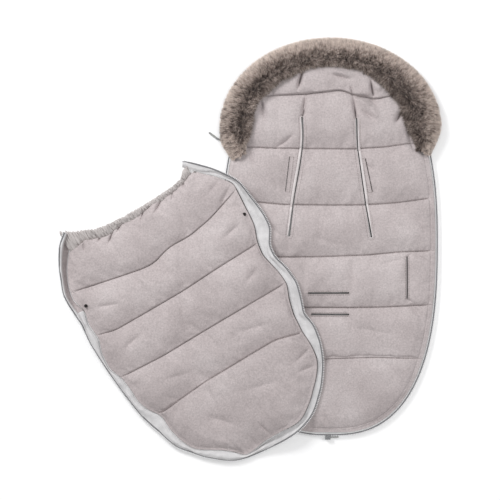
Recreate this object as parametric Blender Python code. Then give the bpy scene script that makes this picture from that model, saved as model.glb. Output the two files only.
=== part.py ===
# Stroller footmuff laid open: a quilted mat with a fur-trimmed hood, and its front cover unzipped beside it.
# Metres, +Z up, +Y towards the hood. The origin is on the floor, under the widest line of the mat.

import math

import bmesh
import bpy
from mathutils import Matrix, Vector

# Fabric layers of a quilted pad
GAP = 0.0003                  # clearance between pieces that touch
SHELL_THICKNESS = 0.0016
LINING_THICKNESS = 0.0018
TAPE_THICKNESS = 0.0008
EDGE_RISE = 0.0050            # how far the shell curls up to the sewing line
EDGE_SWEEP = 0.030            # width of the border in which it curls up
SEAM_FILL_TOP = 0.0068        # top of the wadding along a quilt seam
CROWN_FILL_TOP = 0.0175       # top of the wadding in the middle of a channel
FILL_REACH = 0.016            # how fast the wadding fills out from the border
CROWN_POWER = 0.65
SEAM_ALLOWANCE = 0.0050       # border outside the sewing line

# Mat
MAT_HALF_WIDTH = 0.2485       # centre line to the sewing line
MAT_FOOT_LENGTH = 0.4585      # widest line to the sewing line at the foot
MAT_HEAD_LENGTH = 0.4417
MAT_FOOT_POWER = 2.6
MAT_HEAD_POWER = 2.4
SEAM_PITCH = 0.1262           # quilt seams of the mat and the hood
TOP_SEAM_Y = 0.3456
MAT_SEAM_COUNT = 6

# Hood
FOLD_Y = 0.1896               # line about which the hood folds up
FOLD_GAP = 0.0006
FUR_SEAT_WIDTH = 0.042        # flat border of the hood under the fur
FUR_SEAT_RUN = 0.045          # length over which that border fades out below the fold

# Slots for the harness
SLOT_CLEAR_WIDTH = 0.0060
BINDING_WALL = 0.0015
BINDING_PROUD = 0.0008
SLIT_TOP_Y = 0.2916
SLIT_KNEE_Y = 0.2256
SLIT_FOOT_Y = 0.0096
SLIT_TOP_X = 0.0650
SLIT_FOOT_X = 0.0984
SHOULDER_SLOT_TOP = (0.0972, 0.1800)
SHOULDER_SLOT_FOOT = (0.1068, 0.1176)
CROTCH_SLOT_HALF_LENGTH = 0.0455
CROTCH_SLOT_YS = (-0.1272, -0.1788)
HIP_SLOT_X = 0.1848
HIP_SLOT_YS = (-0.0408, -0.1392)

# Zip
TAPE_SHOW = 0.0060            # tape outside the pad's edge
TAPE_TUCK = 0.0026            # tape inside the pad's edge
TOOTH_PITCH = 0.0060
TOOTH_LENGTH = 0.0033
TOOTH_ROOT = 0.0013
TOOTH_THICKNESS = 0.0028
ZIP_TOP_Y = 0.2380
ZIP_STATION = 0.020

# Zip sliders and pulls
SLIDER_LENGTH = 0.0130
SLIDER_INNER = 0.0052
SLIDER_OUTER = 0.0064
SLIDER_PLATE = 0.0009
WEDGE_LENGTH = 0.0050
WEDGE_WIDTH = 0.0030
STUD_PIN_RADIUS = 0.0012
STUD_HEAD_RADIUS = 0.0021
STUD_HEAD_THICKNESS = 0.0009
PULL_THICKNESS = 0.0009
PULL_EYE_WIDTH = 0.0062
UPPER_SLIDER_Y = 0.2290
LINK_LENGTH = 0.0335
LINK_WIDTH = 0.0040
LINK_ANGLE = math.radians(160)
TAB_LENGTH = 0.0250
TAB_WIDTH = 0.0052
TAB_ANGLE = math.radians(143)
LOWER_SLIDER_X = -0.0050
LOWER_TAB_LENGTH = 0.0270
RETAINER_LENGTH = 0.0080
RETAINER_WIDTH = 0.0090
RETAINER_HEIGHT = 0.0044
STOP_LENGTH = 0.0040
STOP_WIDTH = 0.0042
STOP_HEIGHT = 0.0034

# Fur trim of the hood
FUR_START_Y = 0.1945
FUR_HALF_WIDTH = 0.0396
FUR_RISE = 0.0320
FUR_BELLY = 0.0110
FUR_TAPER = 0.045
FUR_END_SHARE = 0.66
BACKING_THICKNESS = 0.0015
BACKING_INNER = 0.0330
BACKING_OUTER = 0.0020
FUR_STATIONS = 30

# Gathering elastic of the hood
HOOD_ELASTIC_INSET = 0.0220
HOOD_ELASTIC_STATIONS = 22
HOOD_ELASTIC_WIDTH = 0.0060
HOOD_ELASTIC_THICKNESS = 0.0010

# Front cover: its own frame has +Y towards its rim
COVER_PLACE = (-0.3629, -0.1046)
COVER_TURN = math.radians(30)
COVER_HALF_WIDTH = 0.2300
COVER_FOOT_LENGTH = 0.4246
COVER_HEAD_LENGTH = 0.2740
COVER_FOOT_POWER = 2.75
COVER_HEAD_POWER = 2.5
RIM_MIDDLE_Y = 0.1992
RIM_BOW = 0.0360
BOW_POWER = 2.5
COVER_SEAM_YS = (0.0792, -0.0192, -0.1272, -0.2352)
COVER_SEAM_BOWS = (0.0380, 0.0100, 0.0, -0.0120)
DRAPE_RUN = 0.100             # floor length over which the cover climbs on to the mat
DRAPE_OVERLAP = 0.015
DRAPE_SETTLE = 0.0007         # how far the cover settles below the mat's highest crowns

# Gusset band round the cover
GUSSET_WIDTH = 0.0160
GUSSET_WAVE = 0.0035
GUSSET_WAVES = 9
GUSSET_THICKNESS = 0.0014
GUSSET_ARCH = 0.0085
GUSSET_RIPPLE = 0.0050
COVER_TAPE_WIDTH = 0.0040

# Gathered rim of the cover
CASING_HALF_WIDTH = 0.0085
CASING_HALF_HEIGHT = 0.0066
CASING_GATHER = 0.0009
CASING_END_INSET = 0.0060
CASING_WALL = 0.0022
CASING_STATION = 0.0120
RIM_ELASTIC_THICKNESS = 0.0012

# Press studs of the cover
STUD_PLACE = (0.2195, 0.0648)
STUD_RADIUS = 0.0042
STUD_THICKNESS = 0.0014
STUD_POST_RADIUS = 0.0016
PIN_LENGTH = 0.0150
PIN_WIDTH = 0.0026
PIN_THICKNESS = 0.0024

# Resolution
COLUMNS = 8
ROWS_IN_CHANNEL = 3
ROWS_AT_END = 6
HOOD_COLUMNS = 12
HOOD_ROWS = (2, 6, 8)
EDGE_CROWDING_SHARE = 0.25
END_ROW_SHARE = 0.997
ARC_STEPS = 5
CUT_OVERRUN = 0.010
SHARP_ANGLE = math.radians(38)
FLAT_ANGLE = math.radians(0.3)

FLANGE_TOP = EDGE_RISE + SHELL_THICKNESS + GAP + TAPE_THICKNESS + GAP + LINING_THICKNESS
ZIP_Z = EDGE_RISE + SHELL_THICKNESS + GAP + TAPE_THICKNESS / 2
MAT_TOP = CROWN_FILL_TOP + GAP + LINING_THICKNESS
PAD_EDGE_TO_TIPS = TAPE_SHOW + GAP + TOOTH_LENGTH


# Scene and collections
def clear_scene():
    for leftover in list(bpy.data.objects):
        bpy.data.objects.remove(leftover, do_unlink=True)


def new_collection(name):
    collection = bpy.data.collections.new(name)
    bpy.context.scene.collection.children.link(collection)
    return collection


clear_scene()
PARTS = new_collection("stroller_footmuff")
CUTTERS = new_collection("cutters")


def new_material(name, colour, roughness, metallic=0.0):
    material = bpy.data.materials.new(name)
    material.use_nodes = True
    shader = material.node_tree.nodes["Principled BSDF"]
    shader.inputs["Base Color"].default_value = (*colour, 1.0)
    shader.inputs["Roughness"].default_value = roughness
    shader.inputs["Metallic"].default_value = metallic
    return material


LINING = new_material("grey_fleece", (0.52, 0.47, 0.46), 0.95)
SHELL = new_material("outer_fabric", (0.36, 0.36, 0.37), 0.85)
WADDING = new_material("white_wadding", (0.85, 0.85, 0.84), 1.0)
TAPE = new_material("light_woven_tape", (0.66, 0.66, 0.67), 0.85)
TEETH = new_material("zip_teeth", (0.80, 0.80, 0.80), 0.45)
BINDING = new_material("slot_binding", (0.45, 0.41, 0.40), 0.9)
FUR = new_material("brown_fur", (0.16, 0.12, 0.10), 1.0)
METAL = new_material("grey_zip_metal", (0.42, 0.42, 0.43), 0.4, 1.0)
PULL = new_material("pull_tab", (0.45, 0.45, 0.45), 0.5)
ELASTIC = new_material("white_elastic", (0.82, 0.82, 0.80), 0.8)
STUD = new_material("dark_press_stud", (0.07, 0.065, 0.065), 0.45, 0.6)


def finish(name, mesh_builder, material, collection=None):
    """Turns a bmesh into a named object of the part."""
    bmesh.ops.recalc_face_normals(mesh_builder, faces=mesh_builder.faces[:])
    mesh = bpy.data.meshes.new(name)
    mesh_builder.to_mesh(mesh)
    mesh_builder.free()
    mesh.shade_smooth()
    mesh.set_sharp_from_angle(angle=SHARP_ANGLE)
    made = bpy.data.objects.new(name, mesh)
    (collection or PARTS).objects.link(made)
    if material:
        mesh.materials.append(material)
    return made


def hide_tool(tool):
    tool.hide_render = True
    tool.display_type = "WIRE"
    return tool


def combine(target, tool, operation):
    modifier = target.modifiers.new(tool.name, "BOOLEAN")
    modifier.operation = operation
    modifier.solver = "EXACT"
    modifier.object = hide_tool(tool)
    return target


def join_flat_faces(target):
    """Joins the triangles of a layer again where it lies flat."""
    modifier = target.modifiers.new("flat_faces", "DECIMATE")
    modifier.decimate_type = "DISSOLVE"
    modifier.angle_limit = FLAT_ANGLE


def ease(value):
    value = min(max(value, 0.0), 1.0)
    return value * value * (3.0 - 2.0 * value)


def blend(start, end, share):
    return start + (end - start) * share


# Outline and heights of a quilted pad
class Pad:
    """A pad's sewing line is one superellipse towards the foot and another towards the head."""

    def __init__(self, half_width, foot, head, seams, base, seat):
        self.half_width = half_width
        self.foot_length, self.foot_power = foot
        self.head_length, self.head_power = head
        self.seams = seams
        self.base = base
        self.seat = seat

    def curve(self, y):
        if y > 0:
            return self.head_length, self.head_power
        return self.foot_length, self.foot_power

    def half_width_at(self, y):
        length, power = self.curve(y)
        ratio = min(abs(y) / length, 1.0)
        return self.half_width * (1.0 - ratio ** power) ** (1.0 / power)

    def depth(self, x, y):
        """Distance from a point to the sewing line, negative outside it."""
        length, power = self.curve(y)
        radius = (abs(x / self.half_width) ** power + abs(y / length) ** power) ** (1.0 / power)
        return (1.0 - radius) * self.half_width

    def normal(self, x, y):
        length, power = self.curve(y)
        slope_x = math.copysign(abs(x / self.half_width) ** (power - 1), x) / self.half_width
        slope_y = math.copysign(abs(y / length) ** (power - 1), y) / length
        return Vector((slope_x, slope_y)).normalized()

    def crown(self, x, y):
        """0 on a quilt seam, 1 in the middle of a channel."""
        share = min(abs(x) / max(self.half_width_at(y), GAP), 1.0)
        lines = [middle + bow * share ** BOW_POWER for middle, bow in self.seams]
        for upper, lower in zip(lines, lines[1:]):
            if lower <= y <= upper:
                across = (upper - y) / (upper - lower)
                return max(4.0 * across * (1.0 - across), 0.0) ** CROWN_POWER
        return 0.0

    def fill(self, x, y):
        inside = self.depth(x, y) - self.seat(y)
        return 1.0 - math.exp(-max(inside, 0.0) / FILL_REACH)

    def shell_underside(self, x, y):
        lift = 1.0 - ease(self.depth(x, y) / EDGE_SWEEP)
        return self.base(x, y) + EDGE_RISE * lift

    def shell_top(self, x, y):
        return self.shell_underside(x, y) + SHELL_THICKNESS

    def wadding_underside(self, x, y):
        return self.shell_top(x, y) + GAP

    def wadding_top(self, x, y):
        edge = EDGE_RISE + SHELL_THICKNESS + GAP + TAPE_THICKNESS
        middle = blend(SEAM_FILL_TOP, CROWN_FILL_TOP, self.crown(x, y))
        return self.base(x, y) + blend(edge, middle, self.fill(x, y))

    def lining_underside(self, x, y):
        return self.wadding_top(x, y) + GAP

    def lining_top(self, x, y):
        return self.lining_underside(x, y) + LINING_THICKNESS


def channel_rows(lines, counts, eased_end):
    """Rows of a pad's grid as (middle y, bow), from the first line to the last."""
    rows = [lines[0]]
    for index, count in enumerate(counts):
        (start_y, start_bow), (end_y, end_bow) = lines[index], lines[index + 1]
        for step in range(1, count + 1):
            share = step / count
            if eased_end and index == len(counts) - 1:
                share = math.sin(share * math.pi / 2)
            rows.append((blend(start_y, end_y, share), blend(start_bow, end_bow, share)))
    return rows


def place_on_pad(pad, row, across):
    """Point of a pad for a row and a share across it from -1 to 1."""
    share = across * (1.0 + EDGE_CROWDING_SHARE * (1.0 - across * across))
    middle, bow = row
    y = middle + bow * abs(share) ** BOW_POWER
    return share * pad.half_width_at(y), y


def border_points(pad, rows, offset):
    """Points of a pad's border from the first row's left end round the far end to its right end."""
    last = len(rows) - 1
    left = [place_on_pad(pad, row, -1.0) for row in rows[:last]]
    end = [place_on_pad(pad, rows[last], 2.0 * step / COLUMNS - 1.0) for step in range(COLUMNS + 1)]
    right = [(-x, y) for x, y in reversed(left)]
    points = []
    for x, y in left + end + right:
        normal = pad.normal(x, y)
        points.append((Vector((x, y)) + normal * offset, normal))
    return points


def make_layer(name, pad, rows, columns, underside, top, with_border, straight_start, material):
    """One fabric layer: a grid warped to the pad's outline and thickened between two heights."""
    layer = bmesh.new()
    bmesh.ops.create_grid(layer, x_segments=columns, y_segments=len(rows) - 1, size=1.0)
    first_row = set()
    for vert in layer.verts:
        number = round((vert.co.y + 1.0) / 2.0 * (len(rows) - 1))
        if number == 0:
            first_row.add(vert)
        vert.co.x, vert.co.y = place_on_pad(pad, rows[number], vert.co.x)
    if with_border:
        add_border(layer, pad, first_row, straight_start)
    # Every layer is split along the same diagonals, so that layers lie on each other without crossing.
    bmesh.ops.triangulate(layer, faces=layer.faces[:], quad_method="FIXED")
    raised = bmesh.ops.extrude_face_region(layer, geom=layer.faces[:])
    upper = {item for item in raised["geom"] if isinstance(item, bmesh.types.BMVert)}
    for vert in layer.verts:
        height = top if vert in upper else underside
        vert.co.z = height(vert.co.x, vert.co.y)
    return finish(name, layer, material)


def add_border(layer, pad, first_row, straight_start):
    """Adds the seam allowance outside the sewing line, but not along the first row."""
    start_y = next(iter(first_row)).co.y
    edges = [edge for edge in layer.edges if edge.is_boundary and not first_row.issuperset(edge.verts)]
    grown = bmesh.ops.extrude_edge_only(layer, edges=edges)
    for item in grown["geom"]:
        if not isinstance(item, bmesh.types.BMVert):
            continue
        normal = pad.normal(item.co.x, item.co.y)
        if straight_start and abs(item.co.y - start_y) < GAP:
            normal = Vector((math.copysign(1.0, normal.x), 0.0))
        item.co.x += normal.x * SEAM_ALLOWANCE
        item.co.y += normal.y * SEAM_ALLOWANCE


# General shapes
def make_loft(name, sections, material, closed=False, collection=None):
    """Skins a run of cross-sections. An open run gets a cap at each end."""
    skin = bmesh.new()
    rings = [[skin.verts.new(point) for point in section] for section in sections]
    pairs = list(zip(rings, rings[1:]))
    if closed:
        pairs.append((rings[-1], rings[0]))
    for ring, following in pairs:
        for index in range(len(ring)):
            after = (index + 1) % len(ring)
            skin.faces.new((ring[index], ring[after], following[after], following[index]))
    if not closed:
        skin.faces.new(rings[0])
        skin.faces.new(rings[-1])
    return finish(name, skin, material, collection)


def make_prism(name, outline, low, high, material, collection=None):
    """A flat outline raised from one height to another."""
    body = bmesh.new()
    face = body.faces.new([body.verts.new((x, y, low)) for x, y in outline])
    raised = bmesh.ops.extrude_face_region(body, geom=[face])
    for item in raised["geom"]:
        if isinstance(item, bmesh.types.BMVert):
            item.co.z = high
    return finish(name, body, material, collection)


def make_disc(name, radius, low, high, material, sides=16, collection=None):
    body = bmesh.new()
    middle = Matrix.Translation((0.0, 0.0, (low + high) / 2.0))
    bmesh.ops.create_cone(
        body, cap_ends=True, segments=sides, radius1=radius, radius2=radius,
        depth=high - low, matrix=middle)
    return finish(name, body, material, collection)


def rectangle(x_low, x_high, y_low, y_high):
    return [(x_low, y_low), (x_high, y_low), (x_high, y_high), (x_low, y_high)]


def stadium(centre, radius, open_start=False, open_end=False):
    """Outline at one distance from a centre line: down its right side, round its end and back."""
    points = [Vector(point) for point in centre]
    outline = []
    outline += side_of(points, radius)
    if not open_end:
        outline += round_end(points[-1], points[-1] - points[-2], radius)
    outline += side_of(points[::-1], radius)
    if not open_start:
        outline += round_end(points[0], points[0] - points[1], radius)
    return outline


def side_of(points, radius):
    """The line at one distance to the left of the direction of travel."""
    offset = []
    for index, point in enumerate(points):
        before = points[max(index - 1, 0)]
        after = points[min(index + 1, len(points) - 1)]
        along = (after - before).normalized()
        offset.append(point + Vector((-along.y, along.x)) * radius)
    return offset


def round_end(centre, along, radius):
    start = math.atan2(along.y, along.x) + math.pi / 2
    arc = []
    for step in range(1, ARC_STEPS):
        angle = start - math.pi * step / ARC_STEPS
        arc.append(centre + Vector((math.cos(angle), math.sin(angle))) * radius)
    return arc


# Mat and hood share one outline, one set of seams and one set of heights
def mat_base(x, y):
    return 0.0


def mat_seat(y):
    """Width of the flat border that the fur sits on."""
    return FUR_SEAT_WIDTH * ease(1.0 + (y - FOLD_Y) / FUR_SEAT_RUN)


mat_seam_ys = [TOP_SEAM_Y - SEAM_PITCH * index for index in range(MAT_SEAM_COUNT)]
mat_lines = [MAT_HEAD_LENGTH] + mat_seam_ys + [-MAT_FOOT_LENGTH]
MAT = Pad(
    MAT_HALF_WIDTH, (MAT_FOOT_LENGTH, MAT_FOOT_POWER), (MAT_HEAD_LENGTH, MAT_HEAD_POWER),
    [(y, 0.0) for y in mat_lines], mat_base, mat_seat)

mat_row_ys = [FOLD_Y - FOLD_GAP / 2] + mat_seam_ys[2:] + [-MAT_FOOT_LENGTH * END_ROW_SHARE]
mat_rows = channel_rows(
    [(y, 0.0) for y in mat_row_ys], [ROWS_IN_CHANNEL] * (MAT_SEAM_COUNT - 2) + [ROWS_AT_END], True)
hood_row_ys = [FOLD_Y + FOLD_GAP / 2] + mat_seam_ys[1::-1] + [MAT_HEAD_LENGTH * END_ROW_SHARE]
hood_rows = channel_rows(
    [(y, 0.0) for y in hood_row_ys], HOOD_ROWS, True)


def make_pad(prefix, pad, rows, columns, straight_start, wadding_border):
    shell = make_layer(
        prefix + "_shell", pad, rows, columns, pad.shell_underside, pad.shell_top,
        True, straight_start, SHELL)
    wadding = make_layer(
        prefix + "_wadding", pad, rows, columns, pad.wadding_underside, pad.wadding_top,
        wadding_border, straight_start, WADDING)
    lining = make_layer(
        prefix + "_lining", pad, rows, columns, pad.lining_underside, pad.lining_top,
        True, straight_start, LINING)
    return [shell, wadding, lining]


mat_layers = make_pad("mat", MAT, mat_rows, COLUMNS, True, False)
hood_layers = make_pad("hood", MAT, hood_rows, HOOD_COLUMNS, True, False)


# Bound slots
def bind_slot(name, centre, layers, open_start=False, open_end=False):
    """Cuts a slot through a pad's layers and lines it with a bound edge."""
    clear = SLOT_CLEAR_WIDTH / 2
    wall = clear + BINDING_WALL
    cut_line = list(centre)
    if open_start:
        cut_line = [lengthen(centre[1], centre[0])] + cut_line[1:]
    if open_end:
        cut_line = cut_line[:-1] + [lengthen(centre[-2], centre[-1])]
    outline = stadium(cut_line, wall + GAP)
    cutter = make_prism(name + "_cutter", outline, -CUT_OVERRUN, MAT_TOP + CUT_OVERRUN, None, CUTTERS)
    for layer in layers:
        combine(layer, cutter, "DIFFERENCE")
    inner = stadium(centre, clear, open_start, open_end)
    outer = stadium(centre, wall, open_start, open_end)
    if open_start or open_end:
        # The open end comes first, so that the run starts and stops at the fold.
        turn = len(centre) if open_end else 0
        inner = inner[turn:] + inner[:turn]
        outer = outer[turn:] + outer[:turn]
    sections = []
    for near, far in zip(inner, outer):
        top = MAT.lining_top(far.x, far.y) + BINDING_PROUD
        sections.append([(*near, GAP), (*far, GAP), (*far, top), (*near, top)])
    return make_loft(name, sections, BINDING, closed=not (open_start or open_end))


def lengthen(inside, end):
    """Moves a centre line's end on past the fold, so that its cutter runs out of the pad."""
    along = (Vector(end) - Vector(inside)).normalized()
    return tuple(Vector(end) + along * CUT_OVERRUN)


def slit_x(y):
    share = (SLIT_KNEE_Y - min(y, SLIT_KNEE_Y)) / (SLIT_KNEE_Y - SLIT_FOOT_Y)
    return blend(SLIT_TOP_X, SLIT_FOOT_X, share)


def slit_line(side, start_y, end_y, steps):
    ys = [blend(start_y, end_y, step / steps) for step in range(steps + 1)]
    return [(side * slit_x(y), y) for y in ys]


for side, side_name in ((-1, "left"), (1, "right")):
    below = slit_line(side, FOLD_Y - FOLD_GAP / 2, SLIT_FOOT_Y, 8)
    bind_slot(side_name + "_harness_slit_binding", below, mat_layers, open_start=True)
    above = [(side * slit_x(FOLD_Y), FOLD_Y + FOLD_GAP / 2)]
    above += [(side * SLIT_TOP_X, y) for y in (SLIT_KNEE_Y, blend(SLIT_KNEE_Y, SLIT_TOP_Y, 0.5), SLIT_TOP_Y)]
    bind_slot("hood_" + side_name + "_slit_binding", above, hood_layers, open_start=True)
    shoulder = [(side * SHOULDER_SLOT_TOP[0], SHOULDER_SLOT_TOP[1]),
                (side * SHOULDER_SLOT_FOOT[0], SHOULDER_SLOT_FOOT[1])]
    bind_slot(side_name + "_shoulder_slot_binding", shoulder, mat_layers)
    hip = [(side * HIP_SLOT_X, y) for y in HIP_SLOT_YS]
    bind_slot(side_name + "_hip_slot_binding", hip, mat_layers)

for level, level_name in zip(CROTCH_SLOT_YS, ("upper", "lower")):
    crotch = [(-CROTCH_SLOT_HALF_LENGTH, level), (CROTCH_SLOT_HALF_LENGTH, level)]
    bind_slot(level_name + "_crotch_slot_binding", crotch, mat_layers)


# Zip of the mat
def dense_border(pad, start_y):
    """Fine polyline along a pad's sewing line, from its left side round the foot to its right side."""
    points = []
    count = 240
    for step in range(count + 1):
        angle = math.pi * step / count
        x = -pad.half_width * math.copysign(abs(math.cos(angle)) ** (2 / pad.foot_power), math.cos(angle))
        points.append(Vector((x, -pad.foot_length * math.sin(angle) ** (2 / pad.foot_power))))
    head_steps = 40
    heads = [start_y * step / head_steps for step in range(head_steps, 0, -1)]
    left = [Vector((-pad.half_width_at(y), y)) for y in heads]
    right = [Vector((-point.x, point.y)) for point in reversed(left)]
    return left + points + right


def resample(points, spacing):
    """Points at an even distance along a polyline, with both of its ends."""
    lengths = [0.0]
    for before, after in zip(points, points[1:]):
        lengths.append(lengths[-1] + (after - before).length)
    count = max(round(lengths[-1] / spacing), 1)
    found = []
    index = 0
    for step in range(count + 1):
        target = lengths[-1] * step / count
        while index < len(points) - 2 and lengths[index + 1] < target:
            index += 1
        span = max(lengths[index + 1] - lengths[index], 1e-9)
        found.append(points[index].lerp(points[index + 1], (target - lengths[index]) / span))
    return found


def offset_line(pad, points, offset, start_y=None):
    """Moves points outwards along the pad's normal. Those on the fold stay on it."""
    moved = []
    for point in points:
        normal = pad.normal(point.x, point.y)
        if start_y is not None and abs(point.y - start_y) < GAP:
            normal = Vector((math.copysign(1.0, normal.x), 0.0))
        moved.append(point + normal * offset)
    return moved


def make_tape(name, inner, outer, heights):
    sections = []
    for near, far, z in zip(inner, outer, heights):
        low, high = z - TAPE_THICKNESS / 2, z + TAPE_THICKNESS / 2
        sections.append([(*near, low), (*far, low), (*far, high), (*near, high)])
    return make_loft(name, sections, TAPE)


def make_teeth(name, line, outward, heights):
    """A saw-edged strip: teeth along the outer side, a plain cord side against the tape."""
    half = TOOTH_THICKNESS / 2
    lengths = [0.0]
    for before, after in zip(line, line[1:]):
        lengths.append(lengths[-1] + (after - before).length)
    teeth = round(lengths[-1] / TOOTH_PITCH)
    step_length = lengths[-1] / (2 * teeth)
    strip = bmesh.new()

    def column(x, y, z):
        return strip.verts.new((x, y, z - half)), strip.verts.new((x, y, z + half))

    def outer_column(index, share, reach):
        point = line[index].lerp(line[index + 1], share)
        across = outward[index].lerp(outward[index + 1], share).normalized()
        point = point + across * (GAP + reach)
        return column(point.x, point.y, blend(heights[index], heights[index + 1], share))

    inner = [column(*(point + across * GAP), z) for point, across, z in zip(line, outward, heights)]
    first = outer_column(0, 0.0, TOOTH_ROOT)
    number = 1
    previous = first
    for index in range(len(line) - 1):
        run = [previous]
        while number < 2 * teeth and number * step_length < lengths[index + 1] - GAP:
            share = (number * step_length - lengths[index]) / (lengths[index + 1] - lengths[index])
            reach = TOOTH_LENGTH if number % 2 else TOOTH_ROOT
            run.append(outer_column(index, max(share, 0.0), reach))
            number += 1
        if index == len(line) - 2:
            run.append(outer_column(index, 1.0, TOOTH_ROOT))
        for low_high, next_low_high in zip(run, run[1:]):
            strip.faces.new((low_high[0], next_low_high[0], next_low_high[1], low_high[1]))
        near, far = inner[index], inner[index + 1]
        strip.faces.new((near[0], far[0], far[1], near[1]))
        strip.faces.new([near[0]] + [pair[0] for pair in run] + [far[0]])
        strip.faces.new([near[1]] + [pair[1] for pair in run] + [far[1]])
        previous = run[-1]
    strip.faces.new((inner[0][0], inner[0][1], first[1], first[0]))
    strip.faces.new((inner[-1][0], inner[-1][1], previous[1], previous[0]))
    return finish(name, strip, TEETH)


def make_flat_zip(prefix, sewing_line, start_y):
    """Tape and teeth beside a pad whose border is flat."""
    inner = offset_line(MAT, sewing_line, SEAM_ALLOWANCE - TAPE_TUCK, start_y)
    outer = offset_line(MAT, sewing_line, SEAM_ALLOWANCE + TAPE_SHOW, start_y)
    heights = [ZIP_Z] * len(sewing_line)
    make_tape(prefix + "_zip_tape", inner, outer, heights)
    outward = [(far - near).normalized() for near, far in zip(inner, outer)]
    make_teeth(prefix + "_zip_teeth", outer, outward, heights)


mat_zip_line = resample(dense_border(MAT, FOLD_Y - FOLD_GAP / 2), ZIP_STATION)
make_flat_zip("mat", mat_zip_line, FOLD_Y - FOLD_GAP / 2)

hood_zip_start = FOLD_Y + FOLD_GAP / 2
hood_zip_ys = [blend(hood_zip_start, ZIP_TOP_Y, step / 4) for step in range(5)]
for side, side_name in ((-1, "left"), (1, "right")):
    line = [Vector((side * MAT.half_width_at(y), y)) for y in hood_zip_ys]
    make_flat_zip("hood_" + side_name, line, hood_zip_start)


def edge_frame(x, y, offset):
    """Matrix of a place beside the pad's edge: X along the zip, Y outwards, at the zip's height."""
    normal = MAT.normal(x, y)
    point = Vector((x, y)) + normal * offset
    turn = math.atan2(normal.y, normal.x) - math.pi / 2
    return Matrix.Translation((point.x, point.y, ZIP_Z)) @ Matrix.Rotation(turn, 4, "Z")


top_left = (-MAT.half_width_at(ZIP_TOP_Y), ZIP_TOP_Y)
retainer_middle = SEAM_ALLOWANCE + GAP + RETAINER_WIDTH / 2
retainer = make_prism(
    "zip_retainer_box",
    rectangle(GAP, GAP + RETAINER_LENGTH, -RETAINER_WIDTH / 2, RETAINER_WIDTH / 2),
    -RETAINER_HEIGHT / 2, RETAINER_HEIGHT / 2, METAL)
retainer.matrix_world = edge_frame(*top_left, retainer_middle)

top_right = (MAT.half_width_at(ZIP_TOP_Y), ZIP_TOP_Y)
stop_middle = SEAM_ALLOWANCE + TAPE_SHOW + GAP + TOOTH_ROOT / 2
stop = make_prism(
    "zip_top_stop",
    rectangle(-GAP - STOP_LENGTH, -GAP, -STOP_WIDTH / 2, STOP_WIDTH / 2),
    -STOP_HEIGHT / 2, STOP_HEIGHT / 2, METAL)
stop.matrix_world = edge_frame(*top_right, stop_middle)


# Zip sliders and their pulls
PLATE_OUT = TOOTH_THICKNESS / 2 + GAP + SLIDER_PLATE
PIN_BOTTOM = -(PLATE_OUT + GAP + PULL_THICKNESS + GAP + STUD_HEAD_THICKNESS)


def make_slider(name):
    """Slider about its own zip line: two plates joined by the wedge, with a headed stud underneath."""
    plate = rectangle(-SLIDER_LENGTH / 2, SLIDER_LENGTH / 2, -SLIDER_INNER, SLIDER_OUTER)
    slider = make_prism(name, plate, PLATE_OUT - SLIDER_PLATE, PLATE_OUT, METAL)
    lower = make_prism(name + "_lower_plate", plate, -PLATE_OUT, SLIDER_PLATE - PLATE_OUT, None, CUTTERS)
    wedge_outline = [(-WEDGE_LENGTH / 2, GAP + WEDGE_WIDTH / 2), (0.0, GAP),
                     (WEDGE_LENGTH / 2, GAP + WEDGE_WIDTH / 2), (0.0, GAP + WEDGE_WIDTH)]
    reach = PLATE_OUT - SLIDER_PLATE / 2
    wedge = make_prism(name + "_wedge", wedge_outline, -reach, reach, None, CUTTERS)
    pin = make_disc(
        name + "_pin", STUD_PIN_RADIUS, PIN_BOTTOM + STUD_HEAD_THICKNESS / 2,
        SLIDER_PLATE / 2 - PLATE_OUT, None, collection=CUTTERS)
    head = make_disc(
        name + "_head", STUD_HEAD_RADIUS, PIN_BOTTOM, PIN_BOTTOM + STUD_HEAD_THICKNESS, None,
        collection=CUTTERS)
    for tool in (lower, wedge, pin, head):
        tool.parent = slider
        combine(slider, tool, "UNION")
    return slider


def pull_outline(length, width):
    """Flat pull: an eye at each end and a straight waist."""
    eye = PULL_EYE_WIDTH / 2
    waist = width / 2
    outline = []
    for step in range(ARC_STEPS + 1):
        angle = math.pi * (0.25 + 1.5 * step / ARC_STEPS)
        outline.append((eye * math.cos(angle), eye * math.sin(angle)))
    outline.append((eye * 2, -waist))
    outline.append((length - eye, -waist))
    for step in range(ARC_STEPS + 1):
        angle = math.pi * (step / ARC_STEPS - 0.5)
        outline.append((length - eye + eye * math.cos(angle), waist * math.sin(angle)))
    outline.append((length - eye, waist))
    outline.append((eye * 2, waist))
    return outline


def make_pull(name, length, width, low, material):
    """A pull about its pivot, with the eye cut out."""
    pull = make_prism(name, pull_outline(length, width), low, low + PULL_THICKNESS, material)
    eye = make_disc(
        name + "_eye", STUD_PIN_RADIUS + GAP, low - CUT_OVERRUN, low + CUT_OVERRUN, None,
        collection=CUTTERS)
    eye.parent = pull
    return combine(pull, eye, "DIFFERENCE")


pull_low = -(PLATE_OUT + GAP + PULL_THICKNESS)
tips = SEAM_ALLOWANCE + PAD_EDGE_TO_TIPS
upper_place = (-MAT.half_width_at(UPPER_SLIDER_Y), UPPER_SLIDER_Y)
upper_slider = make_slider("upper_zip_slider")
upper_slider.matrix_world = edge_frame(*upper_place, tips)
upper_pivot = upper_slider.matrix_world.translation

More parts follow.
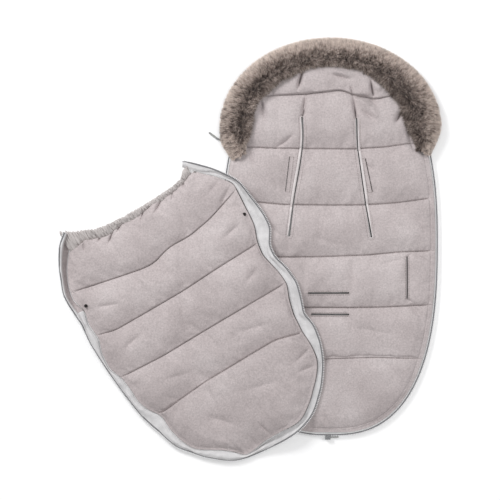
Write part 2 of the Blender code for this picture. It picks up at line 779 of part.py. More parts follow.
link = make_pull("upper_pull_link", LINK_LENGTH + PULL_EYE_WIDTH / 2, LINK_WIDTH, pull_low, METAL)
tab_low = pull_low - GAP - PULL_THICKNESS
link_pin = make_disc(
    "link_pin", STUD_PIN_RADIUS, tab_low - GAP - STUD_HEAD_THICKNESS / 2,
    pull_low + PULL_THICKNESS / 2, None, collection=CUTTERS)
link_head = make_disc(
    "link_head", STUD_HEAD_RADIUS, tab_low - GAP - STUD_HEAD_THICKNESS, tab_low - GAP, None,
    collection=CUTTERS)
for tool in (link_pin, link_head):
    tool.location.x = LINK_LENGTH
    tool.parent = link
    combine(link, tool, "UNION")
link.matrix_world = Matrix.Translation(upper_pivot) @ Matrix.Rotation(LINK_ANGLE, 4, "Z")

tab_pivot = link.matrix_world @ Vector((LINK_LENGTH, 0.0, 0.0))
tab = make_pull("upper_pull_tab", TAB_LENGTH, TAB_WIDTH, tab_low, PULL)
tab.matrix_world = Matrix.Translation(tab_pivot) @ Matrix.Rotation(TAB_ANGLE, 4, "Z")

foot_ratio = abs(LOWER_SLIDER_X) / MAT_HALF_WIDTH
lower_y = -MAT_FOOT_LENGTH * (1.0 - foot_ratio ** MAT_FOOT_POWER) ** (1.0 / MAT_FOOT_POWER)
lower_slider = make_slider("lower_zip_slider")
lower_slider.matrix_world = edge_frame(LOWER_SLIDER_X, lower_y, tips)
lower_pivot = lower_slider.matrix_world.translation
lower_tab = make_pull("lower_pull_tab", LOWER_TAB_LENGTH, TAB_WIDTH, pull_low, PULL)
lower_tab.matrix_world = Matrix.Translation(lower_pivot)


# Fur trim
def hood_edge(y_left, stations):
    """Points and normals along the hood's edge, from its left side over the top to its right side."""
    length, power = MAT_HEAD_LENGTH, MAT_HEAD_POWER
    start = math.asin((y_left / length) ** (power / 2))
    dense = []
    for step in range(241):
        angle = start + (math.pi - 2 * start) * step / 240
        x = -MAT_HALF_WIDTH * math.copysign(abs(math.cos(angle)) ** (2 / power), math.cos(angle))
        dense.append(Vector((x, length * math.sin(angle) ** (2 / power))))
    total = sum((after - before).length for before, after in zip(dense, dense[1:]))
    found = resample(dense, total / stations)
    return [(point, MAT.normal(point.x, point.y)) for point in found]


def fur_share(index, stations, run):
    """Width of the fur, tapered towards both of its ends."""
    distance = min(index, stations - index) * run / stations
    return blend(FUR_END_SHARE, 1.0, ease(distance / FUR_TAPER))


fur_edge = hood_edge(FUR_START_Y, FUR_STATIONS)
fur_run = sum((b[0] - a[0]).length for a, b in zip(fur_edge, fur_edge[1:]))
backing_low = FLANGE_TOP + 2 * GAP
fur_low = backing_low + BACKING_THICKNESS + GAP
backing_sections = []
pile_sections = []
for index, (point, normal) in enumerate(fur_edge):
    share = fur_share(index, len(fur_edge) - 1, fur_run)
    seam = point + normal * SEAM_ALLOWANCE
    near = seam - normal * BACKING_INNER * share
    far = seam + normal * BACKING_OUTER
    high = backing_low + BACKING_THICKNESS
    backing_sections.append(
        [(*near, backing_low), (*far, backing_low), (*far, high), (*near, high)])
    section = []
    for step in range(12):
        angle = 2 * math.pi * (step + 0.5) / 12
        reach = FUR_HALF_WIDTH * share * math.cos(angle)
        height = FUR_RISE * share if math.sin(angle) > 0 else FUR_BELLY
        flat = math.copysign(abs(math.sin(angle)) ** 0.6, math.sin(angle))
        place = seam + normal * reach
        section.append((place.x, place.y, fur_low + FUR_BELLY + height * flat))
    pile_sections.append(section)
make_loft("fur_backing", backing_sections, TAPE)
make_loft("fur_pile", pile_sections, FUR)


# Gathering elastic, in a groove of the hood's wadding under the fur
def strip_sections(line, half_width, low, high):
    """Rectangular sections across a line of (point, normal) pairs."""
    sections = []
    for point, normal in line:
        near, far = point - normal * half_width, point + normal * half_width
        sections.append([(*near, low), (*far, low), (*far, high), (*near, high)])
    return sections


elastic_line = []
for point, normal in hood_edge(FUR_START_Y + HOOD_ELASTIC_INSET, HOOD_ELASTIC_STATIONS):
    elastic_line.append((point - normal * HOOD_ELASTIC_INSET, normal))
elastic_high = FLANGE_TOP - LINING_THICKNESS - 2 * GAP
elastic_low = elastic_high - HOOD_ELASTIC_THICKNESS
groove = make_loft(
    "hood_elastic_groove",
    strip_sections(elastic_line, HOOD_ELASTIC_WIDTH / 2 + GAP, elastic_low - GAP, elastic_high + CUT_OVERRUN),
    None, collection=CUTTERS)
combine(hood_layers[1], groove, "DIFFERENCE")
make_loft(
    "hood_elastic",
    strip_sections(elastic_line, HOOD_ELASTIC_WIDTH / 2, elastic_low, elastic_high)[1:-1],
    ELASTIC)


# Front cover
def to_world(x, y):
    cos, sin = math.cos(COVER_TURN), math.sin(COVER_TURN)
    return COVER_PLACE[0] + x * cos - y * sin, COVER_PLACE[1] + x * sin + y * cos


def cover_base(x, y):
    """The cover lies on the floor, and climbs on to the mat where it overlaps it."""
    world_x, world_y = to_world(x, y)
    inside = MAT.depth(world_x, world_y) + SEAM_ALLOWANCE + PAD_EDGE_TO_TIPS
    return (MAT_TOP + GAP - DRAPE_SETTLE) * ease((inside + DRAPE_RUN) / (DRAPE_RUN + DRAPE_OVERLAP))


def cover_seat(y):
    return 0.0


cover_lines = [(RIM_MIDDLE_Y, RIM_BOW)] + list(zip(COVER_SEAM_YS, COVER_SEAM_BOWS))
COVER = Pad(
    COVER_HALF_WIDTH, (COVER_FOOT_LENGTH, COVER_FOOT_POWER), (COVER_HEAD_LENGTH, COVER_HEAD_POWER),
    cover_lines + [(-COVER_FOOT_LENGTH, 0.0)], cover_base, cover_seat)
cover_rows = channel_rows(
    cover_lines + [(-COVER_FOOT_LENGTH * END_ROW_SHARE, 0.0)],
    [ROWS_IN_CHANNEL] * len(COVER_SEAM_YS) + [ROWS_AT_END], True)

cover_place = bpy.data.objects.new("cover_place", None)
PARTS.objects.link(cover_place)
cover_place.location = (*COVER_PLACE, 0.0)
cover_place.rotation_euler.z = COVER_TURN

cover_layers = make_pad("cover", COVER, cover_rows, COLUMNS, False, True)


# Gusset band, tape and teeth of the cover
border = border_points(COVER, cover_rows, SEAM_ALLOWANCE)
border_lengths = [0.0]
for before, after in zip(border, border[1:]):
    border_lengths.append(border_lengths[-1] + (after[0] - before[0]).length)

gusset_sections = []
gusset_outer = []
gusset_heights = []
for (point, normal), length in zip(border, border_lengths):
    wave = math.sin(2 * math.pi * GUSSET_WAVES * length / border_lengths[-1])
    width = GUSSET_WIDTH + GUSSET_WAVE * wave
    inner = point + normal * GAP
    middle = point + normal * width / 2
    outer = point + normal * width
    seam_z = COVER.base(*point) + EDGE_RISE + SHELL_THICKNESS
    crest_z = COVER.base(*middle) + EDGE_RISE + GUSSET_ARCH + GUSSET_RIPPLE * wave / 2
    outer_z = COVER.base(*outer) + EDGE_RISE / 2 + GUSSET_RIPPLE * (1 - wave) / 2
    half = GUSSET_THICKNESS / 2
    gusset_sections.append([
        (*inner, seam_z - half), (*middle, crest_z - half), (*outer, outer_z - half),
        (*outer, outer_z + half), (*middle, crest_z + half), (*inner, seam_z + half)])
    gusset_outer.append(outer)
    gusset_heights.append(outer_z)
gusset = make_loft("cover_gusset", gusset_sections, TAPE)

normals = [normal for point, normal in border]
tape_inner = [point + normal * GAP for point, normal in zip(gusset_outer, normals)]
tape_outer = [point + normal * COVER_TAPE_WIDTH for point, normal in zip(tape_inner, normals)]
cover_tape = make_tape("cover_zip_tape", tape_inner, tape_outer, gusset_heights)
cover_teeth = make_teeth("cover_zip_teeth", tape_outer, normals, gusset_heights)


def end_piece(name, line, heights, length, width, thickness):
    """A block at the end of the cover's teeth, in line with them."""
    along = (line[0] - line[1]).normalized()
    turn = math.atan2(along.y, along.x)
    block = make_prism(
        name, rectangle(GAP, GAP + length, -width / 2, width / 2), -thickness / 2, thickness / 2, METAL)
    block.location = (*line[0], heights[0])
    block.rotation_euler.z = turn
    return block


tooth_line = [point + normal * (GAP + TOOTH_ROOT / 2) for point, normal in zip(tape_outer, normals)]
cover_stop = end_piece(
    "cover_zip_stop", tooth_line, gusset_heights, STOP_LENGTH, STOP_WIDTH, STOP_HEIGHT)
cover_pin = end_piece(
    "cover_zip_pin", tooth_line[::-1], gusset_heights[::-1], PIN_LENGTH, PIN_WIDTH, PIN_THICKNESS)


# Gathered casing along the rim, and the elastic in it
rim_corners = [Vector(place_on_pad(COVER, cover_rows[0], 2.0 * step / COLUMNS - 1.0))
               for step in range(COLUMNS + 1)]
rim_line = resample(rim_corners, CASING_STATION)
rim_line = [point for point in rim_line if abs(point.x) < rim_corners[-1].x - CASING_END_INSET]


def casing_sections(half_width, half_height, sides, gather, reach):
    """Sections of a flattened tube beside the rim. Its ends run on by a given reach."""
    sections = []
    for index, point in enumerate(rim_line):
        before = rim_line[max(index - 1, 0)]
        after = rim_line[min(index + 1, len(rim_line) - 1)]
        along = (after - before).normalized()
        across = Vector((-along.y, along.x))
        centre = point + across * (CASING_HALF_WIDTH + GAP)
        if index == 0:
            centre = centre - along * reach
        if index == len(rim_line) - 1:
            centre = centre + along * reach
        pinch = gather * (index % 2)
        z = COVER.base(*centre) + CASING_HALF_HEIGHT + GAP
        section = []
        for step in range(sides):
            angle = 2 * math.pi * (step + 0.5) / sides
            place = centre + across * (half_width - pinch) * math.cos(angle)
            section.append((place.x, place.y, z + (half_height - pinch) * math.sin(angle)))
        sections.append(section)
    return sections


casing = make_loft(
    "cover_rim_casing", casing_sections(CASING_HALF_WIDTH, CASING_HALF_HEIGHT, 8, CASING_GATHER, 0.0), TAPE)
bore_width = CASING_HALF_WIDTH - CASING_WALL
bore_height = CASING_HALF_HEIGHT - CASING_WALL
casing_bore = make_loft(
    "casing_bore", casing_sections(bore_width, bore_height, 6, 0.0, CUT_OVERRUN), None,
    collection=CUTTERS)
combine(casing, casing_bore, "DIFFERENCE")
# Corners of both sections stand off the axes, which draws their sides in.
bore_side = bore_width * math.cos(math.pi / 6)
elastic_reach = (bore_side - GAP) / math.cos(math.pi / 4)
rim_elastic = make_loft(
    "cover_rim_elastic",
    casing_sections(elastic_reach, RIM_ELASTIC_THICKNESS, 4, 0.0, 0.0), ELASTIC)


# Press studs: a socket on the lining, its post through the pad and a cap under the shell
def disc_rim(x, y, radius):
    return [(x + radius * math.cos(math.pi * step / 8), y + radius * math.sin(math.pi * step / 8))
            for step in range(16)]


stud_pieces = []
for side, side_name in ((-1, "left"), (1, "right")):
    x, y = side * STUD_PLACE[0], STUD_PLACE[1]
    rim_points = disc_rim(x, y, STUD_RADIUS)
    seat = max(COVER.lining_top(*point) for point in rim_points) + GAP
    under = min(COVER.shell_underside(*point) for point in rim_points) - GAP
    hole = make_disc(
        side_name + "_stud_hole", STUD_POST_RADIUS + GAP, under - CUT_OVERRUN, seat + CUT_OVERRUN, None,
        collection=CUTTERS)
    hole.location = (x, y, 0.0)
    hole.parent = cover_place
    for layer in cover_layers:
        combine(layer, hole, "DIFFERENCE")
    socket = make_disc(side_name + "_stud_socket", STUD_RADIUS, seat, seat + STUD_THICKNESS, STUD)
    post = make_disc(
        side_name + "_stud_post", STUD_POST_RADIUS, under + GAP, seat + STUD_THICKNESS / 2, None,
        collection=CUTTERS)
    post.parent = socket
    combine(socket, post, "UNION")
    cap = make_disc(side_name + "_stud_cap", STUD_RADIUS, under - STUD_THICKNESS, under, STUD)
    for piece in (socket, cap):
        piece.location = (x, y, 0.0)
        stud_pieces.append(piece)

for layer in mat_layers + hood_layers + cover_layers:
    join_flat_faces(layer)

cover_pieces = cover_layers + stud_pieces
cover_pieces += [gusset, cover_tape, cover_teeth, cover_stop, cover_pin, casing, casing_bore, rim_elastic]
for piece in cover_pieces:
    piece.parent = cover_place
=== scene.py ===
# %% [markdown]
# This lesson builds a footmuff for a pushchair, laid open on a white floor and seen from straight above.
# The mat lies on the right with its hood and fur trim. The zipped-off cover lies on the left, partly on
# the mat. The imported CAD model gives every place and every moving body. The soft pieces are made here
# around it.

# %% Frame
import math

import bmesh
import bpy
import numpy as np
from mathutils import Matrix, Vector, noise
from mathutils.bvhtree import BVHTree


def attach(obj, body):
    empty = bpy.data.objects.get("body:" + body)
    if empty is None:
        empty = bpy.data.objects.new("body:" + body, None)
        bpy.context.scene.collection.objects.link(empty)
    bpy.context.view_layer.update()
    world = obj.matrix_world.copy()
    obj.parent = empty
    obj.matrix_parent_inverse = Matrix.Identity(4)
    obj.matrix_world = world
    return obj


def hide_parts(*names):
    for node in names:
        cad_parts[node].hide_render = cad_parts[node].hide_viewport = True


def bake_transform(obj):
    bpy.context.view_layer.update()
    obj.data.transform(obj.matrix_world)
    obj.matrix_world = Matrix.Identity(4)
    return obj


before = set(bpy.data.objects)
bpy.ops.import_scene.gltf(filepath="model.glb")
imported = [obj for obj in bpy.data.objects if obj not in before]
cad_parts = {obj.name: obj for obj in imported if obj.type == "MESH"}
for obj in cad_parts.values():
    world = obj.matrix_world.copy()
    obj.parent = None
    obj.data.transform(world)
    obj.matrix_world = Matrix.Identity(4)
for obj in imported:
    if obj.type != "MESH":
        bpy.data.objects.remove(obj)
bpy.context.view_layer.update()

# %% [markdown]
# The photograph looks straight down, so the camera stands high above the middle of the picture. A long
# lens from four metres keeps the perspective as weak as the photograph's.

# %% Camera
VIEW_CENTRE = (-0.192, -0.024)
VIEW_WIDTH = 1.2
CAMERA_HEIGHT = 4.0
SUBJECT_HEIGHT = 0.012
SENSOR_WIDTH = 36.0
scene = bpy.context.scene
camera_data = bpy.data.cameras.new("camera")
camera_data.sensor_width = SENSOR_WIDTH
camera_data.lens = SENSOR_WIDTH * (CAMERA_HEIGHT - SUBJECT_HEIGHT) / VIEW_WIDTH
camera = bpy.data.objects.new("camera", camera_data)
camera.location = (*VIEW_CENTRE, CAMERA_HEIGHT)
scene.collection.objects.link(camera)
scene.camera = camera
scene.view_settings.view_transform = "Standard"
print("lens", round(camera_data.lens, 1))

# %% [markdown]
# The light is a soft studio: a pale world all round, one broad lamp from the upper left and a weaker one
# from the right. Together they light a level surface at about the strength at which its colour shows as
# written.

# %% Light and floor
WHITE = (1.0, 1.0, 1.0, 1.0)
WORLD_STRENGTH = 0.50
FLOOR_SHADE = (0.93, 0.93, 0.935, 1.0)
FLOOR_GLOW = 0.19             # keeps the paper white out to its edges
FLOOR_HALF = 6.0
FLOOR_HEIGHT = -0.0006


def add_lamp(name, place, size, power):
    lamp = bpy.data.lights.new(name, "AREA")
    lamp.size = size
    lamp.energy = power
    holder = bpy.data.objects.new(name, lamp)
    holder.location = place
    aim = Vector((*VIEW_CENTRE, 0.0)) - holder.location
    holder.rotation_euler = aim.to_track_quat("-Z", "Y").to_euler()
    scene.collection.objects.link(holder)


add_lamp("key_lamp", (-1.9, 1.8, 1.9), 1.0, 60.0)
add_lamp("side_lamp", (1.3, 0.3, 1.9), 1.4, 15.0)
world = bpy.data.worlds.new("studio")
world.use_nodes = True
world.node_tree.nodes["Background"].inputs["Color"].default_value = WHITE
world.node_tree.nodes["Background"].inputs["Strength"].default_value = WORLD_STRENGTH
scene.world = world
floor_material = bpy.data.materials.new("white_paper_floor")
floor_material.use_nodes = True
floor_shader = floor_material.node_tree.nodes["Principled BSDF"]
floor_shader.inputs["Base Color"].default_value = FLOOR_SHADE
floor_shader.inputs["Roughness"].default_value = 0.9
floor_shader.inputs["Emission Color"].default_value = WHITE
floor_shader.inputs["Emission Strength"].default_value = FLOOR_GLOW
corner_signs = ((-1, -1), (1, -1), (1, 1), (-1, 1))
floor_corners = [(x * FLOOR_HALF, y * FLOOR_HALF, FLOOR_HEIGHT) for x, y in corner_signs]
floor_mesh = bpy.data.meshes.new("floor")
floor_mesh.from_pydata(floor_corners, [], [(0, 1, 2, 3)])
floor_mesh.materials.append(floor_material)
floor = bpy.data.objects.new("floor", floor_mesh)
scene.collection.objects.link(floor)
print("two lamps, a world and a floor")

# %% [markdown]
# Every finish is procedural. Fleece is a short dense pile, so its colour drifts softly and its surface
# has a very fine nap. All scales are in object coordinates, which are metres here.

# %% Finishes
def colour(hex_code):
    """A linear colour from the hex code that a picture shows."""
    parts = [int(hex_code[place:place + 2], 16) / 255.0 for place in (0, 2, 4)]
    linear = [part / 12.92 if part <= 0.04045 else ((part + 0.055) / 1.055) ** 2.4 for part in parts]
    return (*linear, 1.0)


def new_finish(name, roughness, metallic=0.0, sheen=0.0):
    """A new material with its node tree, links and shader."""
    material = bpy.data.materials.new(name)
    material.use_nodes = True
    tree = material.node_tree
    shader = tree.nodes["Principled BSDF"]
    shader.inputs["Roughness"].default_value = roughness
    shader.inputs["Metallic"].default_value = metallic
    shader.inputs["Sheen Weight"].default_value = sheen
    shader.inputs["Sheen Roughness"].default_value = 0.5
    return material, tree, shader


def add_noise(tree, scale, detail=3.0, rough=0.55):
    coordinates = tree.nodes.new("ShaderNodeTexCoord")
    texture = tree.nodes.new("ShaderNodeTexNoise")
    texture.inputs["Scale"].default_value = scale
    texture.inputs["Detail"].default_value = detail
    texture.inputs["Roughness"].default_value = rough
    tree.links.new(coordinates.outputs["Object"], texture.inputs["Vector"])
    return texture.outputs["Fac"]


def add_ramp(tree, value, stops):
    ramp = tree.nodes.new("ShaderNodeValToRGB")
    elements = ramp.color_ramp.elements
    while len(elements) < len(stops):
        elements.new(0.5)
    for element, (place, hex_code) in zip(elements, stops):
        element.position = place
        element.color = colour(hex_code)
    tree.links.new(value, ramp.inputs["Fac"])
    return ramp.outputs["Color"]


def mix_colours(tree, first, second, share, blend_type="MIX"):
    mix = tree.nodes.new("ShaderNodeMix")
    mix.data_type = "RGBA"
    mix.blend_type = blend_type
    if isinstance(share, float):
        mix.inputs["Factor"].default_value = share
    else:
        tree.links.new(share, mix.inputs["Factor"])
    tree.links.new(first, mix.inputs[6])
    tree.links.new(second, mix.inputs[7])
    return mix.outputs[2]


def add_bump(tree, shader, heights):
    """Stacks bump nodes: each entry is (height socket, strength, distance in metres)."""
    last = None
    for height, strength, distance in heights:
        bump = tree.nodes.new("ShaderNodeBump")
        bump.inputs["Strength"].default_value = strength
        bump.inputs["Distance"].default_value = distance
        tree.links.new(height, bump.inputs["Height"])
        if last is not None:
            tree.links.new(last, bump.inputs["Normal"])
        last = bump.outputs["Normal"]
    tree.links.new(last, shader.inputs["Normal"])


def fleece_finish(name, dark, middle, light):
    material, tree, shader = new_finish(name, 0.95, sheen=0.25)
    cloud = add_noise(tree, 9.0, 4.0)
    tuft = add_noise(tree, 260.0, 3.0, 0.7)
    pile = add_noise(tree, 1500.0, 2.0, 0.6)
    broad = add_ramp(tree, cloud, [(0.3, dark), (0.5, middle), (0.72, light)])
    close = add_ramp(tree, tuft, [(0.3, "bababa"), (0.7, "ffffff")])
    fine = add_ramp(tree, pile, [(0.25, "cccccc"), (0.7, "ffffff")])
    shade = mix_colours(tree, broad, close, 0.6, "MULTIPLY")
    shade = mix_colours(tree, shade, fine, 0.55, "MULTIPLY")
    tree.links.new(shade, shader.inputs["Base Color"])
    add_bump(tree, shader, [(tuft, 0.35, 0.0009), (pile, 0.45, 0.0005)])
    return material


def woven_finish(name, dark, light, threads=1150.0):
    """A plain weave: two crossed sets of bands, one for the warp and one for the weft."""
    material, tree, shader = new_finish(name, 0.85, sheen=0.1)
    coordinates = tree.nodes.new("ShaderNodeTexCoord")
    cross = tree.nodes.new("ShaderNodeMath")
    cross.operation = "MULTIPLY"
    for number, direction in enumerate(("X", "Y")):
        wave = tree.nodes.new("ShaderNodeTexWave")
        wave.bands_direction = direction
        wave.inputs["Scale"].default_value = threads / 2.0
        wave.inputs["Distortion"].default_value = 1.2
        wave.inputs["Detail"].default_value = 1.0
        tree.links.new(coordinates.outputs["Object"], wave.inputs["Vector"])
        tree.links.new(wave.outputs["Fac"], cross.inputs[number])
    cloud = add_noise(tree, 45.0, 4.0)
    weave = add_ramp(tree, cross.outputs[0], [(0.0, dark), (0.8, light)])
    tone = add_ramp(tree, cloud, [(0.3, "dcdcdc"), (0.7, "ffffff")])
    tree.links.new(mix_colours(tree, weave, tone, 0.8, "MULTIPLY"), shader.inputs["Base Color"])
    add_bump(tree, shader, [(cross.outputs[0], 0.4, 0.0003)])
    return material


def plastic_finish(name, dark, light, roughness):
    material, tree, shader = new_finish(name, roughness)
    tone = add_noise(tree, 330.0, 2.0)
    grain = add_noise(tree, 2400.0, 2.0)
    tree.links.new(add_ramp(tree, tone, [(0.35, dark), (0.65, light)]), shader.inputs["Base Color"])
    add_bump(tree, shader, [(grain, 0.15, 0.0002)])
    return material


def metal_finish(name, dark, light, roughness):
    material, tree, shader = new_finish(name, roughness, metallic=1.0)
    wear = add_noise(tree, 420.0, 4.0, 0.65)
    scratch = add_noise(tree, 1900.0, 2.0)
    tree.links.new(add_ramp(tree, wear, [(0.35, dark), (0.7, light)]), shader.inputs["Base Color"])
    add_bump(tree, shader, [(scratch, 0.12, 0.00015)])
    return material


FLEECE = fleece_finish("grey_fleece", "c6bbbb", "d3c8c8", "ded4d4")
SHELL = woven_finish("outer_fabric", "85807e", "a29d9a")
BAND = woven_finish("light_woven_band", "dcdadb", "f4f3f4", 1500.0)
TAPE = woven_finish("grey_zip_tape", "6f6e71", "8b8a8d", 1500.0)
PIPING = woven_finish("light_piping", "e0d8d8", "f8f2f2", 1700.0)
THREAD = woven_finish("sewing_thread", "736966", "8f8582", 3000.0)
QUILT_THREAD = woven_finish("quilting_thread", "5f5654", "7a706d", 3000.0)
CASING_CLOTH = woven_finish("light_rim_cloth", "bdb6b4", "dad4d2", 1400.0)
# Painted shade: a dark finish for the faces that look into the narrow slots.
SLOT_PAINTED_SHADE = woven_finish("painted_slot_shade", "423b3b", "5b5352", 1500.0)
TEETH = plastic_finish("zip_teeth_plastic", "dededf", "fafafb", 0.42)
METAL = metal_finish("grey_zip_metal", "8a8a8c", "c2c2c4", 0.36)
PULL_METAL = metal_finish("pull_metal", "9b9b9a", "cdcdcb", 0.45)
STUD_METAL = metal_finish("dark_press_stud", "2a2829", "55504f", 0.34)
print("nine cloth finishes, one plastic and three metals")

# %% [markdown]
# Mat and cover have the same kind of outline: one superellipse towards the foot and another towards the
# head, which is how a pattern cutter's egg shape reads. All distances from the edge come from this one
# description.

# %% Outline of a pad
CLOTH_MARGIN = 0.005          # border between the sewing line and the cloth's edge


class Outline:
    """The cloth's edge: a superellipse towards the foot and another towards the head."""

    def __init__(self, half_width, foot, head):
        self.half_width = half_width + CLOTH_MARGIN
        self.foot_length, self.foot_power = foot[0] + CLOTH_MARGIN, foot[1]
        self.head_length, self.head_power = head[0] + CLOTH_MARGIN, head[1]

    def parts(self, y):
        above = np.asarray(y) > 0
        length = np.where(above, self.head_length, self.foot_length)
        power = np.where(above, self.head_power, self.foot_power)
        return length, power

    def width_at(self, y):
        length, power = self.parts(y)
        ratio = np.clip(np.abs(y) / length, 0.0, 1.0)
        return self.half_width * (1.0 - ratio ** power) ** (1.0 / power)

    def gradient(self, x, y):
        """Radius measure (1 on the edge) and its slope."""
        length, power = self.parts(y)
        across = np.abs(x) / self.half_width
        along = np.abs(y) / length
        radius = np.maximum((across ** power + along ** power) ** (1.0 / power), 1e-6)
        scale = radius ** (1.0 - power)
        slope_x = scale * across ** (power - 1.0) / self.half_width * np.sign(x)
        slope_y = scale * along ** (power - 1.0) / length * np.sign(y)
        return radius, slope_x, slope_y

    def distance(self, x, y):
        """Distance inside the cloth's edge, in metres."""
        radius, slope_x, slope_y = self.gradient(x, y)
        return (1.0 - radius) / np.maximum(np.hypot(slope_x, slope_y), 1e-6)

    def normal(self, x, y):
        radius, slope_x, slope_y = self.gradient(np.float64(x), np.float64(y))
        return Vector((float(slope_x), float(slope_y), 0.0)).normalized()


MAT = Outline(0.2485, (0.4585, 2.6), (0.4417, 2.4))
COVER = Outline(0.2300, (0.4246, 2.75), (0.2740, 2.5))
print("mat is", round(2 * MAT.half_width, 3), "m wide")

# %% [markdown]
# These helpers serve every part below: smooth steps and noise, pieces made from points and faces, lines
# that are sampled evenly, and a look straight down on a finished surface.

# %% Small helpers
LOOK_DOWN_FROM = 0.2          # well above every piece


def ease(value):
    value = np.clip(value, 0.0, 1.0)
    return value * value * (3.0 - 2.0 * value)


def roughen(x, y, wavelength, seed):
    """Smooth noise from -1 to 1 over a plan."""
    offset = Vector((seed * 17.3, seed * 5.7, seed * 2.9))
    scale = 1.0 / wavelength
    return np.array([noise.noise(Vector((px * scale, py * scale, 0.0)) + offset) for px, py in zip(x, y)])


def new_piece(name, points, faces, material=None, sharp=None, closed=True):
    """A linked piece. A closed one has its faces turned outwards; edges above the sharp angle stay sharp."""
    mesh = bpy.data.meshes.new(name)
    mesh.from_pydata([tuple(point) for point in points], [], faces)
    mesh.validate()
    if closed:
        work = bmesh.new()
        work.from_mesh(mesh)
        bmesh.ops.recalc_face_normals(work, faces=work.faces[:])
        work.to_mesh(mesh)
        work.free()
    if material:
        mesh.materials.append(material)
    mesh.shade_smooth()
    piece = bpy.data.objects.new(name, mesh)
    scene.collection.objects.link(piece)
    if sharp:
        mesh.set_sharp_from_angle(angle=math.radians(sharp))
    return piece


def skin_faces(start, size, count, ring=False):
    """Faces over a run of sections with the same number of points, and both ends unless the run is a ring."""
    faces = []
    for index in range(count if ring else count - 1):
        here, there = start + index * size, start + (index + 1) % count * size
        for step in range(size):
            after = (step + 1) % size
            faces.append((here + step, here + after, there + after, there + step))
    if not ring:
        faces.append(tuple(range(start, start + size)))
        faces.append(tuple(range(start + (count - 1) * size, start + count * size)))
    return faces


def loft(name, sections, material, ring=False):
    """Skin over a run of closed sections that have the same number of points."""
    points = [point for section in sections for point in section]
    return new_piece(name, points, skin_faces(0, len(sections[0]), len(sections), ring), material, 50)


def read_points(mesh):
    points = np.empty(len(mesh.vertices) * 3)
    mesh.vertices.foreach_get("co", points)
    return points.reshape(-1, 3)


def write_points(mesh, points):
    mesh.vertices.foreach_set("co", np.asarray(points, dtype=np.float64).ravel())
    mesh.update()


def keep_modifier(piece, modifier):
    """Makes a modifier's result the piece's own mesh."""
    shaped = piece.evaluated_get(bpy.context.evaluated_depsgraph_get())
    finished = bpy.data.meshes.new_from_object(shaped)
    piece.modifiers.remove(modifier)
    piece.data = finished


def running_length(line):
    """Length along a line on the plan, at each of its points."""
    return np.concatenate([[0.0], np.cumsum(np.hypot(*np.diff(line[:, :2], axis=0).T))])


def even_line(line, spacing, trim=0.0):
    """A line sampled evenly between two trimmed ends, and the length at each sample."""
    lengths = running_length(line)
    count = max(int(round((lengths[-1] - 2.0 * trim) / spacing)), 2)
    places = np.linspace(trim, lengths[-1] - trim, count + 1)
    return np.stack([np.interp(places, lengths, column) for column in line.T], axis=-1), places


def line_normals(points):
    """Unit normals of a line on the plan, on the side away from the middle."""
    tangents = np.gradient(points, axis=0)
    tangents /= np.linalg.norm(tangents, axis=1)[:, None]
    normals = np.stack([tangents[:, 1], -tangents[:, 0]], axis=-1)
    return -normals if np.sum(normals * points) < 0 else normals


def surface_of(piece):
    """The piece's surface as it is now, for looks from above."""
    faces = [tuple(face.vertices) for face in piece.data.polygons]
    return BVHTree.FromPolygons([vertex.co for vertex in piece.data.vertices], faces)


def height_on(surface, x, y):
    """Height of a surface at a place on the plan, or None beside it."""
    spot = surface.ray_cast(Vector((x, y, LOOK_DOWN_FROM)), Vector((0.0, 0.0, -1.0)))[0]
    return spot.z if spot else None


def ride_on(body, piece, slot, *nodes):
    """Fixes a piece to a body and hides the CAD nodes that it stands for. Its finish slot is not used."""
    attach(piece, body)
    if nodes:
        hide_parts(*nodes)


print("helpers ready")

# %% [markdown]
# A quilt seam is never quite straight, so each one is a line of a few measured points, from left to
# right. The rows of the pad's grid run along the seams and crowd towards them, which keeps the stitched
# valleys sharp.

# %% Quilt seams
SEAM_SMOOTHING = 0.012        # to each side of a place
MAT_SEAMS = [
    [(-0.166, 0.3456), (-0.100, 0.3490), (-0.065, 0.3500), (0.026, 0.3610), (0.055, 0.3490), (0.110, 0.3380),
     (0.137, 0.3450)],
    [(-0.197, 0.2232), (-0.140, 0.2205), (-0.082, 0.2196), (0.055, 0.2184), (0.130, 0.2230), (0.194, 0.2320)],
    [(-0.230, 0.0960), (-0.180, 0.0912), (-0.113, 0.0850), (0.000, 0.0835), (0.077, 0.0840), (0.160, 0.0890),
     (0.238, 0.1000)],
    [(-0.118, -0.0410), (-0.034, -0.0408), (0.086, -0.0365), (0.166, -0.0290), (0.252, -0.0262)],
    [(-0.058, -0.1620), (0.050, -0.1626), (0.125, -0.1615), (0.240, -0.1560)],
    [(-0.180, -0.2850), (-0.014, -0.2858), (0.106, -0.2822), (0.180, -0.2840), (0.226, -0.2868)],
]


def seam_height(seam, x):
    """The seam's y at each x, smoothed between its points."""
    places = np.array(seam)
    shifts = np.linspace(-SEAM_SMOOTHING, SEAM_SMOOTHING, 5)
    return sum(np.interp(x + shift, places[:, 0], places[:, 1]) for shift in shifts) / len(shifts)


def crowded(count, crowd):
    """Shares from 0 to 1 that crowd towards both ends."""
    even = np.linspace(0.0, 1.0, count + 1)
    return (1.0 - crowd) * even + crowd * (1.0 - np.cos(np.pi * even)) / 2.0


def pad_grid(outline, lines, counts, columns):
    """Grid of a pad: x, y and each row's share across its channel. Lines are functions of x, head first."""
    across = np.linspace(-1.0, 1.0, columns + 1)
    across = 0.72 * across + 0.28 * np.sin(across * np.pi / 2.0)
    rows_x, rows_y, shares = [], [], []
    for index, count in enumerate(counts):
        steps = crowded(count, 0.8)
        steps = steps if index == len(counts) - 1 else steps[:-1]
        for step in steps:
            x = across * outline.half_width
            for _ in range(6):
                y = (1.0 - step) * lines[index](x) + step * lines[index + 1](x)
                x = across * outline.width_at(y)
            rows_x.append(x)
            rows_y.append(y)
            shares.append(step)
    return np.array(rows_x), np.array(rows_y), np.array(shares)


